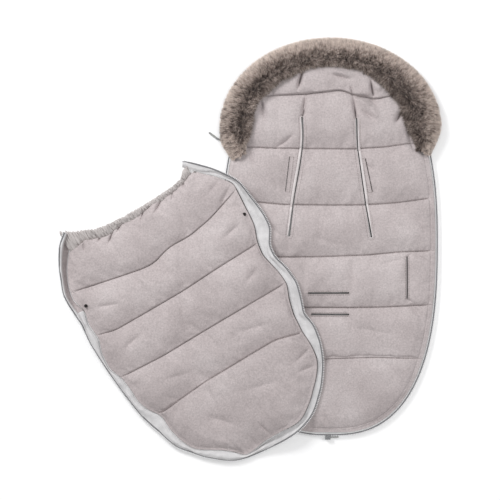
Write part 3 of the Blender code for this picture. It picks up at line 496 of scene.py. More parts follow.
def closed_faces(rows, columns):
    """Faces of a closed pad: top grid, bottom grid and the wall between their borders."""
    count = rows * columns
    index = np.arange(count).reshape(rows, columns)
    faces = []
    for row in range(rows - 1):
        for column in range(columns - 1):
            a, b = index[row, column], index[row, column + 1]
            c, d = index[row + 1, column + 1], index[row + 1, column]
            faces.append((int(d), int(c), int(b), int(a)))
            faces.append((int(a + count), int(b + count), int(c + count), int(d + count)))
    rim = list(index[0, :]) + list(index[1:, -1]) + list(index[-1, -2::-1]) + list(index[-2:0:-1, 0])
    for here, there in zip(rim, rim[1:] + rim[:1]):
        faces.append((int(here), int(there), int(there + count), int(here + count)))
    return faces


def end_line(outline, side):
    """The pad's last row, just inside its head or foot."""
    length = outline.head_length if side > 0 else -outline.foot_length
    return lambda x: np.full_like(x, length * 0.9965)


def channel_lines(outline, seams, first):
    """Borders of the channels from the head to the foot, as functions of x."""
    return [first] + [lambda x, seam=seam: seam_height(seam, x) for seam in seams] + [end_line(outline, -1)]


mat_lines = channel_lines(MAT, MAT_SEAMS, end_line(MAT, 1))
print(len(MAT_SEAMS), "seams on the mat")

# %% [markdown]
# A quilted pad is two cloths with wadding between them, sewn together along the seams. The grid gives the
# plan and a low crown to each channel. Then the cloth solver blows the channels up a little while the
# seams, the border and the underside are held, which gives the uneven swelling and small folds that real
# wadding has.

# %% Quilted pad
SEAM_TOP = 0.0086             # top of the lining along a seam
CROWN_TOP = 0.0168            # before the pad swells
EDGE_TOP = 0.0098
EDGE_FLAT = 0.006             # flat border inside the cloth's edge
EDGE_ROUNDING = 0.014
UNDER_LIFT = 0.0019           # the pad lies on its outer cloth
EDGE_LIFT = 0.0071
CURL_WIDTH = 0.030            # border that curls up to the zip
SWELL_FRAMES = 20
SWELL_PRESSURE = 5.0
SWELL_SLACK = 0.02
SWELL_LIMIT = 0.0065          # no point moves further than this
HELD_BY_SEAM = 0.0012
HELD_BY_EDGE = 0.009
HELD_BY_SLOT = 0.005
VALLEY_DEPTH = 0.0040
VALLEY_WIDTH = 0.0016
DEEP_VALLEY_DEPTH = 0.0026    # added where a seam is pulled tighter
DEEP_VALLEY_WIDTH = 0.0022
EDGE_VALLEY_DEPTH = 0.0016


def edge_share(distance, reach):
    """0 on the edge and 1 well inside it."""
    return 1.0 - np.exp(-np.maximum(distance, 0.0) / reach)


def curl(distance):
    """How far the border is curled up: 1 at the edge and 0 where the pad lies flat."""
    return 1.0 - ease((distance - CLOTH_MARGIN) / CURL_WIDTH)


def under_height(distance):
    """Underside of the pad: flat, and curled up at the border."""
    return UNDER_LIFT + (EDGE_LIFT - UNDER_LIFT) * curl(distance)


def swell(piece, held):
    """Places of a pad's points after the cloth solver has blown it up. Held points stay where they are."""
    before = read_points(piece.data)
    group = piece.vertex_groups.new(name="held")
    group.add([int(index) for index in np.nonzero(held)[0]], 1.0, "REPLACE")
    solver = piece.modifiers.new("swell", "CLOTH")
    settings = solver.settings
    settings.vertex_group_mass = "held"
    settings.quality = 5
    settings.mass = 0.2
    settings.tension_stiffness = 12.0
    settings.compression_stiffness = 6.0
    settings.shear_stiffness = 3.0
    settings.bending_stiffness = 0.6
    settings.use_pressure = True
    settings.uniform_pressure_force = SWELL_PRESSURE
    settings.shrink_min = -SWELL_SLACK
    settings.effector_weights.gravity = 0.0
    solver.collision_settings.use_collision = False
    solver.point_cache.frame_start = 1
    solver.point_cache.frame_end = SWELL_FRAMES
    for number in range(1, SWELL_FRAMES + 1):
        scene.frame_set(number)
    shaped = piece.evaluated_get(bpy.context.evaluated_depsgraph_get())
    move = read_points(shaped.data) - before
    piece.modifiers.remove(solver)
    piece.vertex_groups.remove(group)
    scene.frame_set(1)
    length = np.linalg.norm(move, axis=1)
    share = np.minimum(1.0, SWELL_LIMIT / np.maximum(length, 1e-9))
    return before + move * share[:, None]


def split_finer(piece):
    """Splits every face in four and rounds the result, so that narrow creases can be shaped."""
    finer = piece.modifiers.new("finer", "SUBSURF")
    finer.levels = 1
    keep_modifier(piece, finer)


def seam_distance(x, y, seams):
    return np.min([np.abs(y - seam_height(seam, x)) for seam in seams], axis=0)


def segment_distance(x, y, start, end):
    """Distance to a straight line between two points, and the share along it."""
    ax, ay = start
    bx, by = end
    length_squared = (bx - ax) ** 2 + (by - ay) ** 2
    share = np.clip(((x - ax) * (bx - ax) + (y - ay) * (by - ay)) / length_squared, 0.0, 1.0)
    return np.hypot(x - ax - share * (bx - ax), y - ay - share * (by - ay)), share


def fold_depth(x, y, folds):
    """Soft creases and ridges: each is (start, end, width, depth), deepest in its middle."""
    depth = np.zeros_like(x)
    for start, end, width, deep in folds:
        distance, share = segment_distance(x, y, start, end)
        shape = np.exp(-(distance / width) ** 2) if deep < 0 else np.exp(-(distance / (0.8 * width)) ** 1.3)
        depth += 2.5 * deep * shape * np.sin(np.pi * np.clip(share, 0.04, 0.96)) ** 0.6
    return depth


def crown_shares(counts, share, head_is_edge):
    """Crown of each row, from 0 on a seam to 1. The end channels rise from their seam only."""
    channel = np.append(np.repeat(np.arange(len(counts)), counts), len(counts) - 1)
    crown = np.sqrt(np.clip(4.0 * share * (1.0 - share), 0.0, 1.0))
    end_share = np.where(channel == 0, share, 1.0 - share)
    one_sided = np.sqrt(np.clip(1.0 - (1.0 - np.clip(end_share * 2.2, 0.0, 1.0)) ** 2, 0.0, 1.0))
    at_end = (channel == len(counts) - 1) | ((channel == 0) & head_is_edge)
    return np.where(at_end, one_sided, crown)[:, None]


def two_sided(name, x, y, top, under, material):
    """A closed pad or cloth between two heights over a grid."""
    upper = np.stack([x, y, top], axis=-1).reshape(-1, 3)
    lower = np.stack([x, y, under], axis=-1).reshape(-1, 3)
    return new_piece(name, np.vstack([upper, lower]), closed_faces(*x.shape), material)


def quilted_pad(name, outline, lines, counts, columns, seams, base, seat=None, slots=None):
    """A pad on its own plan: grid, crown and swelling. A pad with a seat ends in an edge at its head too."""
    x, y, share = pad_grid(outline, lines, counts, columns)
    distance = outline.distance(x, y)
    full = SEAM_TOP + (CROWN_TOP - SEAM_TOP) * crown_shares(counts, share, seat is not None)
    inside = edge_share(distance - EDGE_FLAT - (seat(y) if seat else 0.0), EDGE_ROUNDING)
    ground = base(x, y)
    top = EDGE_TOP + (full - EDGE_TOP) * inside + ground
    piece = two_sided(name, x, y, top, under_height(distance) + ground, FLEECE)
    flat_x, flat_y = x.ravel(), y.ravel()
    held = (seam_distance(flat_x, flat_y, seams) < HELD_BY_SEAM) | (distance.ravel() < HELD_BY_EDGE)
    if slots:
        held |= slots(flat_x, flat_y) < HELD_BY_SLOT
    held = np.concatenate([held, np.ones(len(flat_x), dtype=bool)])
    write_points(piece.data, swell(piece, held))
    split_finer(piece)
    split_finer(piece)
    return piece


def refine_top(piece, outline, seams, base, folds, seed, band=None, tight=None):
    """Seam valleys with puckers, deeper ones at tight seams, creases and a stitched line inside the edge."""
    points = read_points(piece.data)
    x, y = points[:, 0], points[:, 1]
    distance = outline.distance(x, y)
    height = points[:, 2] - base(x, y)
    upper = height > under_height(distance) + 0.0012
    gap = seam_distance(x, y, seams)
    pucker = roughen(x, y * 0.25, 0.011, seed) * np.exp(-(gap / 0.014) ** 2) * 0.0013
    tremble = roughen(x, y, 0.060, seed + 1) * 0.0017 + roughen(x, y, 0.024, seed + 2) * 0.0007
    seam_valley = VALLEY_DEPTH * np.exp(-(gap / VALLEY_WIDTH) ** 2)
    if tight:
        seam_valley += DEEP_VALLEY_DEPTH * np.exp(-(seam_distance(x, y, tight) / DEEP_VALLEY_WIDTH) ** 2)
    edge_valley = EDGE_VALLEY_DEPTH * np.exp(-((distance - band) / VALLEY_WIDTH) ** 2) if band else 0.0
    inside = edge_share(distance, 0.012)
    change = (pucker + tremble - seam_valley - fold_depth(x, y, folds)) * inside - edge_valley
    lowest = under_height(distance) + 0.0016
    points[:, 2] = np.where(upper, np.maximum(height + change, lowest), height) + base(x, y)
    write_points(piece.data, points)


print("pad helpers ready")

# %% [markdown]
# The mat and the hood are one piece of cloth, so they are made as one pad. The harness slots are cut
# through it afterwards. Round the hood the wadding stays thin under the fur.

# %% Slots of the harness
SLIT_GAPE = 0.75              # a long slit is this much wider at its ends
SLOTS = {
    "left_harness_slit": [(-0.0672, 0.2928), (-0.0650, 0.2580), (-0.0655, 0.2256), (-0.0720, 0.1800),
                          (-0.0855, 0.1050), (-0.0984, 0.0110)],
    "left_shoulder_slot": [(-0.0972, 0.1980), (-0.1068, 0.1180)],
    "left_hip_slot": [(-0.1848, -0.0410), (-0.1848, -0.1390)],
    "right_harness_slit": [(0.0632, 0.2900), (0.0642, 0.2580), (0.0655, 0.2256), (0.0765, 0.1440),
                           (0.0855, 0.0850), (0.0984, 0.0080)],
    "right_shoulder_slot": [(0.0850, 0.1940), (0.1010, 0.1170)],
    "right_hip_slot": [(0.1848, -0.0410), (0.1848, -0.1390)],
    "upper_crotch_slot": [(-0.0510, -0.1275), (0.0440, -0.1270)],
    "lower_crotch_slot": [(-0.0440, -0.1785), (0.0440, -0.1790)],
}
CLEAR_WIDTHS = {"harness": 0.0026, "shoulder": 0.0014, "hip": 0.0030, "crotch": 0.0040}


def clear_width(name):
    """Clear gap of a slot, from the second word of its name."""
    return CLEAR_WIDTHS[name.split("_")[1]]


def near_slots(x, y):
    """Distance to the nearest slot's line."""
    nearest = np.full_like(x, 1.0)
    for line in SLOTS.values():
        for start, end in zip(line, line[1:]):
            nearest = np.minimum(nearest, segment_distance(x, y, start, end)[0])
    return nearest


def hood_seat(y):
    """Width of the thin border that the fur is sewn on."""
    return 0.030 * ease((y - 0.150) / 0.060)


def flat_base(x, y):
    """The mat lies on the floor."""
    return np.zeros_like(x + y)


MAT_COUNTS = [22, 26, 26, 26, 26, 26, 34]
MAT_COLUMNS = 76
MAT_FOLDS = [
    ((0.002, 0.3974), (0.05, 0.3846), 0.005, 0.003), ((-0.0015, 0.409), (0.0535, 0.393), 0.006, -0.0026),
    ((0.0976, 0.376), (0.1057, 0.34), 0.0055, 0.0048), ((0.109, 0.373), (0.123, 0.359), 0.0065, -0.0032),
    ((-0.0675, 0.399), (-0.0778, 0.36), 0.0058, 0.0044),
    ((-0.0676, 0.302), (-0.0584, 0.346), 0.0046, 0.0038),
    ((0.0612, 0.298), (0.0554, 0.346), 0.0046, 0.004), ((0.064, 0.34), (0.1013, 0.3167), 0.008, -0.003),
    ((0.095, 0.321), (0.116, 0.291), 0.008, -0.0026), ((0.07, 0.313), (0.108, 0.29), 0.007, 0.0034),
    ((-0.171, 0.33), (-0.1538, 0.283), 0.008, 0.0042), ((-0.148, 0.328), (-0.14, 0.29), 0.009, -0.0018),
    ((-0.0878, 0.252), (-0.13, 0.221), 0.006, 0.0032), ((-0.196, 0.218), (-0.1813, 0.18), 0.007, 0.0026),
    ((0.175, 0.312), (0.156, 0.281), 0.009, 0.0034), ((0.1858, 0.266), (0.2004, 0.217), 0.006, 0.0026),
    ((0.1416, 0.2065), (0.176, 0.226), 0.008, 0.002), ((0.196, -0.03), (0.236, -0.052), 0.007, 0.0024),
    ((0.19, -0.15), (0.226, -0.196), 0.009, 0.0022), ((0.12, -0.06), (0.176, -0.044), 0.009, 0.0018),
    ((0.205, 0.06), (0.232, 0.01), 0.011, 0.002), ((-0.046, 0.01), (0.02, -0.012), 0.014, 0.0014),
    ((0.06, -0.21), (0.15, -0.226), 0.014, 0.0016), ((-0.138, 0.15), (-0.125, 0.115), 0.009, 0.0018),
    ((-0.15, 0.045), (-0.12, 0.01), 0.008, 0.0022), ((0.01, 0.16), (0.03, 0.11), 0.02, 0.0012),
    ((0.19, -0.045), (0.19, -0.135), 0.009, 0.0016), ((0.185, -0.039), (0.198, -0.032), 0.0036, 0.0016),
    ((0.185, -0.141), (0.198, -0.15), 0.0036, 0.0016), ((0.085, 0.18), (0.105, 0.17), 0.007, 0.0014),
    ((0.15, 0.05), (0.19, 0.02), 0.012, 0.0014), ((0.0976, 0.383), (0.104, 0.348), 0.0026, 0.0046),
    ((-0.066, 0.406), (-0.0745, 0.372), 0.0034, 0.0046),
    ((-0.0685, 0.288), (-0.06, 0.318), 0.0028, 0.0042), ((0.063, 0.286), (0.059, 0.318), 0.0028, 0.004),
    ((0.056, 0.342), (0.048, 0.37), 0.0034, 0.003), ((0.059, 0.342), (0.094, 0.344), 0.004, 0.0026),
    ((0.094, 0.344), (0.112, 0.324), 0.005, 0.0026), ((-0.17, 0.342), (-0.156, 0.306), 0.004, 0.0034),
    ((0.17, 0.302), (0.159, 0.284), 0.004, 0.003),
]
mat_pad = quilted_pad(
    "mat_and_hood_pad", MAT, mat_lines, MAT_COUNTS, MAT_COLUMNS, MAT_SEAMS, flat_base, hood_seat, near_slots)
refine_top(mat_pad, MAT, MAT_SEAMS, flat_base, MAT_FOLDS, 11, 0.0115)
print("mat and hood:", len(mat_pad.data.polygons), "faces")

# %% [markdown]
# The slots are real cuts: one set of narrow blades, each a little wider than the slot's clear gap, is
# taken out of the pad and of the outer cloth. The bound edges sit in the cuts afterwards.

# %% Cutting the slots
BINDING_WALL = 0.0008
ROUND_STEPS = 6
BLADE_LEVELS = (-0.02, 0.06)


def wider(share, gape):
    """How much wider a slot is at a share of its length. One that gapes is widest at both ends."""
    return 1.0 + gape * (1.0 - math.sin(math.pi * min(max(share, 0.0), 1.0))) ** 1.5


def slot_outline(line, radius, gape=0.0):
    """Closed outline round a line, with rounded ends. Also gives each point's side, -1 or 1."""
    points = [Vector((x, y)) for x, y in line]
    outline = []
    for side, run in ((1, points), (-1, points[::-1])):
        for index, point in enumerate(run):
            along = (run[min(index + 1, len(run) - 1)] - run[max(index - 1, 0)]).normalized()
            reach = radius * wider(index / (len(run) - 1), gape)
            outline.append((point + Vector((-along.y, along.x)) * reach, side))
        along = (run[-1] - run[-2]).normalized()
        start = math.atan2(along.y, along.x) + math.pi / 2.0
        for step in range(1, ROUND_STEPS):
            angle = start - math.pi * step / ROUND_STEPS
            reach = radius * wider(1.0, gape)
            outline.append((run[-1] + Vector((math.cos(angle), math.sin(angle))) * reach, side))
    return outline


def smooth_line(line, spacing):
    """A line through its corners, rounded a little and sampled evenly."""
    dense, _ = even_line(np.array(line), spacing)
    for _ in range(3):
        dense[1:-1] = (dense[:-2] + 2.0 * dense[1:-1] + dense[2:]) / 4.0
    return [tuple(point) for point in dense]


def make_blades():
    """Closed prisms through all the slots, in one mesh."""
    points, faces = [], []
    for name, line in SLOTS.items():
        gape = SLIT_GAPE if "slit" in name else 0.0
        outline = slot_outline(smooth_line(line, 0.012), clear_width(name) / 2.0 + BINDING_WALL, gape)
        faces += skin_faces(len(points), len(outline), len(BLADE_LEVELS))
        points += [(point.x, point.y, level) for level in BLADE_LEVELS for point, _ in outline]
    return new_piece("slot_blades", points, faces)


def cut_slots(piece, blades):
    cut = piece.modifiers.new("slots", "BOOLEAN")
    cut.operation = "DIFFERENCE"
    cut.solver = "EXACT"
    cut.object = blades
    keep_modifier(piece, cut)
    piece.data.shade_smooth()
    piece.data.set_sharp_from_angle(angle=math.radians(62))


pad_surface = surface_of(mat_pad)


def pad_top(x, y, surface=pad_surface):
    """Height of the quilted top at a place on the plan."""
    height = height_on(surface, x, y)
    return EDGE_TOP if height is None else height


blades = make_blades()
cut_slots(mat_pad, blades)
print("slots cut:", len(SLOTS))

# %% [markdown]
# Each slot has a bound edge: a strip of light fabric that goes down through the cut and rolls over into a
# lip. The lips of the two long slits are thicker on their outer side, where the piping runs.

# %% Bound slots
HIGHEST_LIP = 0.0018
SECTION_POINTS = 10
# These faces carry the painted shade inside the slot.
PAINTED_SHADE_FACES = (0, 1, 8, 9)   # the part of a section that faces into the slot


def bound_slot(name, line, width, outer_lip, inner_lip, material, proud=0.0, fuller=0.0, gape=0.0):
    """Lofts the strip's section round the slot. Lips are radii, and the outer lip is away from the middle."""
    run = smooth_line(line, 0.006)
    outline = slot_outline(run, width / 2.0, gape)
    lead = 1 if line[0][0] < 0 else -1
    closing = 0.40 * width
    sections = []
    for index, (point, side) in enumerate(outline):
        along = (outline[(index + 1) % len(outline)][0] - outline[index - 1][0]).normalized()
        away = Vector((-along.y, along.x))
        number = min(range(len(run)), key=lambda place: (Vector(run[place]) - point).length)
        if away.dot(point - Vector(run[number])) < 0:
            away = -away
        share = number / len(run)
        if side * lead < 0:
            lip = outer_lip + fuller * math.sin(math.pi * share) ** 1.5
        else:
            lip = inner_lip * (1.0 + 0.8 * (wider(share, 1.0) - 1.0))
        high = min(lip, HIGHEST_LIP)
        top = pad_top(*(point + away * (BINDING_WALL + lip * 2.0))) + proud - high * 0.45
        profile = [
            (-closing, 0.0012), (-0.7 * closing, 0.5 * top), (0.0, top), (0.35 * lip, top + 0.75 * high),
            (lip, top + 1.05 * high), (1.7 * lip, top + 0.75 * high), (2.0 * lip, top),
            (1.6 * lip, top - 0.5 * high), (BINDING_WALL, top - 0.7 * high), (BINDING_WALL, 0.0007),
        ]
        sections.append([(*(point + away * out), height) for out, height in profile])
    slot = loft(name, sections, material, ring=True)
    # The faces inside the slot get the dark finish, which is painted shade in the narrow gap.
    slot.data.materials.append(SLOT_PAINTED_SHADE)
    for face in slot.data.polygons:
        face.material_index = 1 if face.index % SECTION_POINTS in PAINTED_SHADE_FACES else 0
    return slot


def across_fold(piece, slot, *nodes):
    """Bakes a piece's place into its mesh and hides the CAD nodes that it stands for."""
    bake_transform(piece)
    if nodes:
        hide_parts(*nodes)


for name, line in SLOTS.items():
    lips, width, bindings = name + "_lips", clear_width(name), [name + "_binding"]
    if "slit" in name:
        bound = bound_slot(lips, line, width, 0.0012, 0.0003, PIPING, 0.0004, 0.0022, SLIT_GAPE)
        bindings.append("hood_" + name.replace("harness_", "") + "_binding")
    else:
        bound = bound_slot(lips, line, width, 0.0008, 0.0008, FLEECE)
    across_fold(bound, "slot_binding", *bindings)
print(len(SLOTS), "bound slots")

# %% [markdown]
# Stitches are short threads that lie on the cloth. They frame the plain slots, run down both sides of the
# long slits and hold the quilt's seams.

# %% Stitches
STITCH_LENGTH = 0.0030
STITCH_PITCH = 0.0042
STITCH_RADIUS = 0.00034
FRAME_RADIUS = 0.00058
STITCH_SIDES = 5
# Each ring of a stitch has its place along the stitch, its size and its drop into the cloth.
STITCH_RINGS = ((-0.5, 0.45, 0.9), (-0.25, 1.0, 0.0), (0.25, 1.0, 0.0), (0.5, 0.45, 0.9))
SEAM_SPACING = 0.004


def stitch_points(run, height_at, radius=STITCH_RADIUS):
    """Points of one row of stitches along a run of plan points."""
    places = np.array(run)
    lengths = running_length(places)
    points = []
    for middle in np.arange(STITCH_PITCH / 2.0, lengths[-1], STITCH_PITCH):
        spots = []
        for share, _, _ in STITCH_RINGS:
            at = np.clip(middle + share * STITCH_LENGTH, 0.0, lengths[-1])
            spots.append(Vector([float(np.interp(at, lengths, column)) for column in places.T]))
        along = (spots[-1] - spots[0]).normalized()
        across = Vector((-along.y, along.x))
        height = height_at(*spots[1]) + radius * 0.4
        for place, (_, size, drop) in zip(spots, STITCH_RINGS):
            for step in range(STITCH_SIDES):
                angle = 2.0 * math.pi * step / STITCH_SIDES
                spot = place + across * math.cos(angle) * radius * size
                points.append((spot.x, spot.y, height - radius * drop + math.sin(angle) * radius * size))
    return points


def stitching(name, points, material):
    """All the stitches of one kind as one piece."""
    stitch = STITCH_SIDES * len(STITCH_RINGS)
    faces = []
    for start in range(0, len(points), stitch):
        faces += skin_faces(start, STITCH_SIDES, len(STITCH_RINGS))
    return new_piece(name, points, faces, material)


def seam_run(seam, low, high):
    """Places along a seam between two sides."""
    return [(float(x), float(seam_height(seam, x))) for x in np.arange(low, high, SEAM_SPACING)]


def split_run(run, widest):
    """Splits a run of places where neighbours are further apart than this."""
    parts = [[]]
    for place in run:
        if parts[-1] and math.dist(parts[-1][-1], place) > widest:
            parts.append([])
        parts[-1].append(place)
    return [part for part in parts if len(part) > 2]


def frame_round(line, gap, overrun, shift):
    """Rectangle of stitching round a straight slot, or shifted to one side of it."""
    start, end = Vector(line[0]), Vector(line[1])
    along = (end - start).normalized()
    sideways = Vector((-along.y, along.x))
    across = sideways * gap
    low = start - along * overrun + sideways * shift
    high = end + along * overrun + sideways * shift
    corners = (low + across, high + across, high - across, low - across, low + across)
    return [tuple(corner) for corner in corners]


STITCH_FRAMES = {             # distance from the slot, overrun at its ends and shift to one side
    "left_shoulder_slot": (0.0056, 0.0020, 0.0044),
    "right_shoulder_slot": (0.0056, 0.0020, -0.0044),
    "upper_crotch_slot": (0.0046, 0.0012, 0.0),
    "lower_crotch_slot": (0.0046, 0.0012, 0.0),
    "left_hip_slot": (0.0044, 0.0030, 0.0),
    "right_hip_slot": (0.0044, 0.0030, 0.0),
}
slot_spots = []
for name, sizes in STITCH_FRAMES.items():
    slot_spots += stitch_points(frame_round(SLOTS[name], *sizes), pad_top, FRAME_RADIUS)
for name in ("left_harness_slit", "right_harness_slit"):
    outline = slot_outline(smooth_line(SLOTS[name], 0.012), clear_width(name) / 2.0 + 0.0072)
    slot_spots += stitch_points([tuple(point) for point, _ in outline], pad_top)
seam_spots = []
for seam in MAT_SEAMS:
    run = seam_run(seam, seam[0][0] - 0.30, seam[-1][0] + 0.30)
    run = [place for place in run if float(MAT.distance(*np.array(place))) > 0.012]
    run = [place for place in run if float(near_slots(*np.array(place)[:, None])[0]) > 0.006]
    for part in split_run(run, 0.010):
        seam_spots += stitch_points(part, pad_top)
across_fold(stitching("quilting_stitches", seam_spots, QUILT_THREAD), "grey_fleece")
across_fold(stitching("slot_stitching", slot_spots, THREAD), "slot_binding")
across_fold(mat_pad, "grey_fleece", "mat_lining", "mat_wadding", "hood_lining", "hood_wadding")
print("stitches:", (len(seam_spots) + len(slot_spots)) // (STITCH_SIDES * len(STITCH_RINGS)))

# %% [markdown]
# Under the wadding lies the outer cloth of the mat: a thin woven sheet, flat on the floor, curled up at
# the border to the zip. It has the same outline and the same slots. The quilting draws it in a little
# along the seams.

# %% Outer cloth
SHELL_THICK = 0.0014
SHELL_CURL = 0.0050
MAT_CLOTH_COUNTS = [8, 10, 36, 10, 10, 10, 14]      # the hood folds in the third channel
MAT_CLOTH_COLUMNS = 40


def flat_area(outline, top, samples):
    """Area of the cut cloth up to a height, from its width at many heights."""
    heights = np.linspace(-outline.foot_length, top, samples)
    return float(np.sum(2.0 * outline.width_at(heights)) * (heights[1] - heights[0]))


def outer_cloth(name, outline, lines, counts, columns, seams, base):
    x, y, _ = pad_grid(outline, lines, counts, columns)
    distance = outline.distance(x, y)
    lift = base(x, y) + SHELL_CURL * curl(distance)
    gap = seam_distance(x.ravel(), y.ravel(), seams).reshape(x.shape)
    tuck = 0.0007 * np.exp(-(gap / 0.004) ** 2) * edge_share(distance - 0.01, 0.01)
    return two_sided(name, x, y, lift + SHELL_THICK, lift + tuck, SHELL)


mat_cloth = outer_cloth(
    "mat_and_hood_outer_cloth", MAT, mat_lines, MAT_CLOTH_COUNTS, MAT_CLOTH_COLUMNS, MAT_SEAMS, flat_base)
cut_slots(mat_cloth, blades)
bpy.data.objects.remove(blades)
mat_area = flat_area(MAT, MAT.head_length, 400)
across_fold(mat_cloth, "outer_fabric", "mat_shell", "hood_shell")

# %% [markdown]
# The zip runs round the whole mat. Its tape is a narrow woven band sewn under the lining, and its teeth
# are moulded one by one on the tape's edge. Each tooth here is its own little block with a neck and a
# wider head.

# %% Zip tape and teeth
TOOTH_PITCH = 0.0040
TOOTH_TOP = 0.0013
ZIP_HEIGHT = 0.0073
ZIP_TOP_Y = 0.2380
TOOTH_OUTLINE = [
    (-0.0002, -0.00062), (0.0017, -0.00062), (0.0022, -0.00100), (0.0030, -0.00100), (0.0034, -0.00055),
    (0.0034, 0.00055), (0.0030, 0.00100), (0.0022, 0.00100), (0.0017, 0.00062), (-0.0002, 0.00062),
]
TOOTH_MIDDLE = 0.0016
TOOTH_LEVELS = [(-TOOTH_TOP, 0.72), (-TOOTH_TOP * 0.62, 1.0), (TOOTH_TOP * 0.62, 1.0), (TOOTH_TOP, 0.72)]


def beside_edge(outline, x, y, offset):
    """Plan places moved outwards from the cloth's edge."""
    normals = [outline.normal(px, py if abs(py) > 1e-7 else -1e-7) for px, py in zip(x, y)]
    return np.array([(px + away.x * offset, py + away.y * offset) for px, py, away in zip(x, y, normals)])


def edge_path(outline, left_y, right_y, offset, spacing):
    """Points beside the cloth's edge with outward normals, from the left side round the foot to the right."""
    angles = np.linspace(0.0, math.pi, 700)
    spread = np.abs(np.cos(angles)) ** (2.0 / outline.foot_power) * np.sign(np.cos(angles))
    foot_y = -outline.foot_length * np.sin(angles) ** (2.0 / outline.foot_power)
    left = np.linspace(left_y, 0.0, 120)[:-1]
    right = np.linspace(0.0, right_y, 120)[1:]
    x = np.concatenate([-outline.width_at(left), -outline.half_width * spread, outline.width_at(right)])
    y = np.concatenate([left, foot_y, right])
    points, places = even_line(beside_edge(outline, x, y, offset), spacing)
    return points, line_normals(points), places


def beside(point, normal, across, along=0.0):
    """A place moved along a line's normal and along the line itself."""
    x = point[0] + normal[0] * across - normal[1] * along
    y = point[1] + normal[1] * across + normal[0] * along
    return x, y


def zip_teeth(name, points, normals, heights):
    """Moulded teeth: an outlined block with its upper and lower edges rounded off, once for each place."""
    spots, faces = [], []
    for point, normal, height in zip(points, normals, np.broadcast_to(heights, len(points))):
        faces += skin_faces(len(spots), len(TOOTH_OUTLINE), len(TOOTH_LEVELS))
        for level, size in TOOTH_LEVELS:
            for out, side in TOOTH_OUTLINE:
                reach = TOOTH_MIDDLE + (out - TOOTH_MIDDLE) * (1.0 - (1.0 - size) * 0.5)
                spots.append((*beside(point, normal, reach, side * size), height + level))
    return new_piece(name, spots, faces, TEETH, 35)


def flat_band(name, points, normals, inner, outer, heights, thickness, material, cord=0.0):
    """A woven band along a line. A cord along its outer edge carries the teeth."""
    half = thickness / 2.0
    section = [(inner, -half), (inner, half), (outer - 0.0018, half)]
    if cord:
        section += [(outer - 0.0012, cord), (outer - 0.0002, cord), (outer + 0.0002, 0.0),
                    (outer - 0.0002, -cord), (outer - 0.0012, -cord)]
    else:
        section += [(outer, half), (outer, -half)]
    section.append((outer - 0.0018, -half))
    sections = []
    for point, normal, height in zip(points, normals, np.broadcast_to(heights, len(points))):
        sections.append([(*beside(point, normal, out), height + level) for out, level in section])
    return loft(name, sections, material)


tape_points, tape_normals, _ = edge_path(MAT, ZIP_TOP_Y, ZIP_TOP_Y, 0.0, 0.008)
zip_tape = flat_band(
    "mat_zip_tape_woven", tape_points, tape_normals, 0.0030, 0.0060, ZIP_HEIGHT, 0.0008, TAPE, 0.0009)
across_fold(zip_tape, "light_woven_tape", "mat_zip_tape", "hood_left_zip_tape", "hood_right_zip_tape")
tooth_points, tooth_normals, _ = edge_path(MAT, ZIP_TOP_Y - 0.002, ZIP_TOP_Y - 0.002, 0.0052, TOOTH_PITCH)
mat_teeth = zip_teeth("mat_zip_teeth_moulded", tooth_points, tooth_normals, ZIP_HEIGHT)
across_fold(mat_teeth, "zip_teeth", "mat_zip_teeth", "hood_left_zip_teeth", "hood_right_zip_teeth")
print(len(tooth_points), "teeth on", round(float(running_length(tape_points)[-1]), 2), "m of tape")

# %% [markdown]
# The trim is a band of deep fake fur, sewn on round the hood. A solid core gives it its roll and stops
# the light. Over the core stand many thousand fine hairs, each a narrow blade of three faces that bends
# under its own weight. A slow noise turns neighbouring hairs the same way, which makes the locks that
# real fur falls into.

# %% Fur core
FUR_CENTRE = (0.0015, 0.2678)
FUR_HALF = (0.2262, 0.1804)
FUR_START = math.radians(200.5)
FUR_END = math.radians(-17.5)
FUR_RUN = 0.70
INNER_BULGES = [              # share of the run and reach of the roll's inner side there
    (0.0, 0.2), (0.03, 0.4), (0.055, 0.7), (0.08, 1.0), (0.12, 1.15), (0.16, 1.15), (0.22, 0.95), (0.3, 1.1),
    (0.36, 1.18), (0.45, 1.0), (0.6, 1.0), (0.68, 1.3), (0.88, 1.5), (0.93, 1.2), (0.965, 0.8), (1.0, 0.45),
]
CORE_HALF_WIDTH = 0.0215
CORE_MIDDLE = 0.0163          # height of the roll's middle
CORE_RISE = 0.0150
CORE_DROP = 0.0045
CORE_SIDES = 14
CORE_SECTIONS = 70
HAIR_SHADES = [(0.0, "453733"), (0.3, "98857e"), (0.65, "d0c1ba"), (1.0, "f5ece6")]
TONE_SHADES = [(0.0, "483c37"), (0.35, "988e88"), (0.7, "dcd5d0"), (1.0, "f4efea")]


def fur_frame(share):
    """Middle line of the fur at a share from its left end to its right end: place, outward and along."""
    angle = FUR_START + (FUR_END - FUR_START) * share
    cos, sin = math.cos(angle), math.sin(angle)
    place = Vector((FUR_CENTRE[0] + FUR_HALF[0] * cos, FUR_CENTRE[1] + FUR_HALF[1] * sin))
    along = Vector((FUR_HALF[0] * sin, -FUR_HALF[1] * cos)).normalized()
    return place, Vector((-along.y, along.x)), along


def inner_reach(share, cos):
    """The roll's inner side bulges and draws in along its run; its outer side doesn't."""
    return float(np.interp(share, *zip(*INNER_BULGES))) if cos < 0.0 else 1.0


def fur_fullness(share):
    """Size of the roll: full in the middle, drawn in at both ends, a little more on the right."""
    left = float(ease(share * FUR_RUN / 0.045))
    right = float(ease((1.0 - share) * FUR_RUN / 0.070))
    return 0.62 + 0.38 * min(left, right) - 0.10 * (1.0 - right)


def core_section(share):
    place, out, _ = fur_frame(share)
    full = fur_fullness(share)
    section = []
    for step in range(CORE_SIDES):
        angle = 2.0 * math.pi * (step + 0.5) / CORE_SIDES
        spot = place + out * (CORE_HALF_WIDTH * full * math.cos(angle) * inner_reach(share, math.cos(angle)))
        rise = CORE_RISE * full if math.sin(angle) > 0 else CORE_DROP
        section.append((spot.x, spot.y, CORE_MIDDLE + rise * math.sin(angle)))
    return section


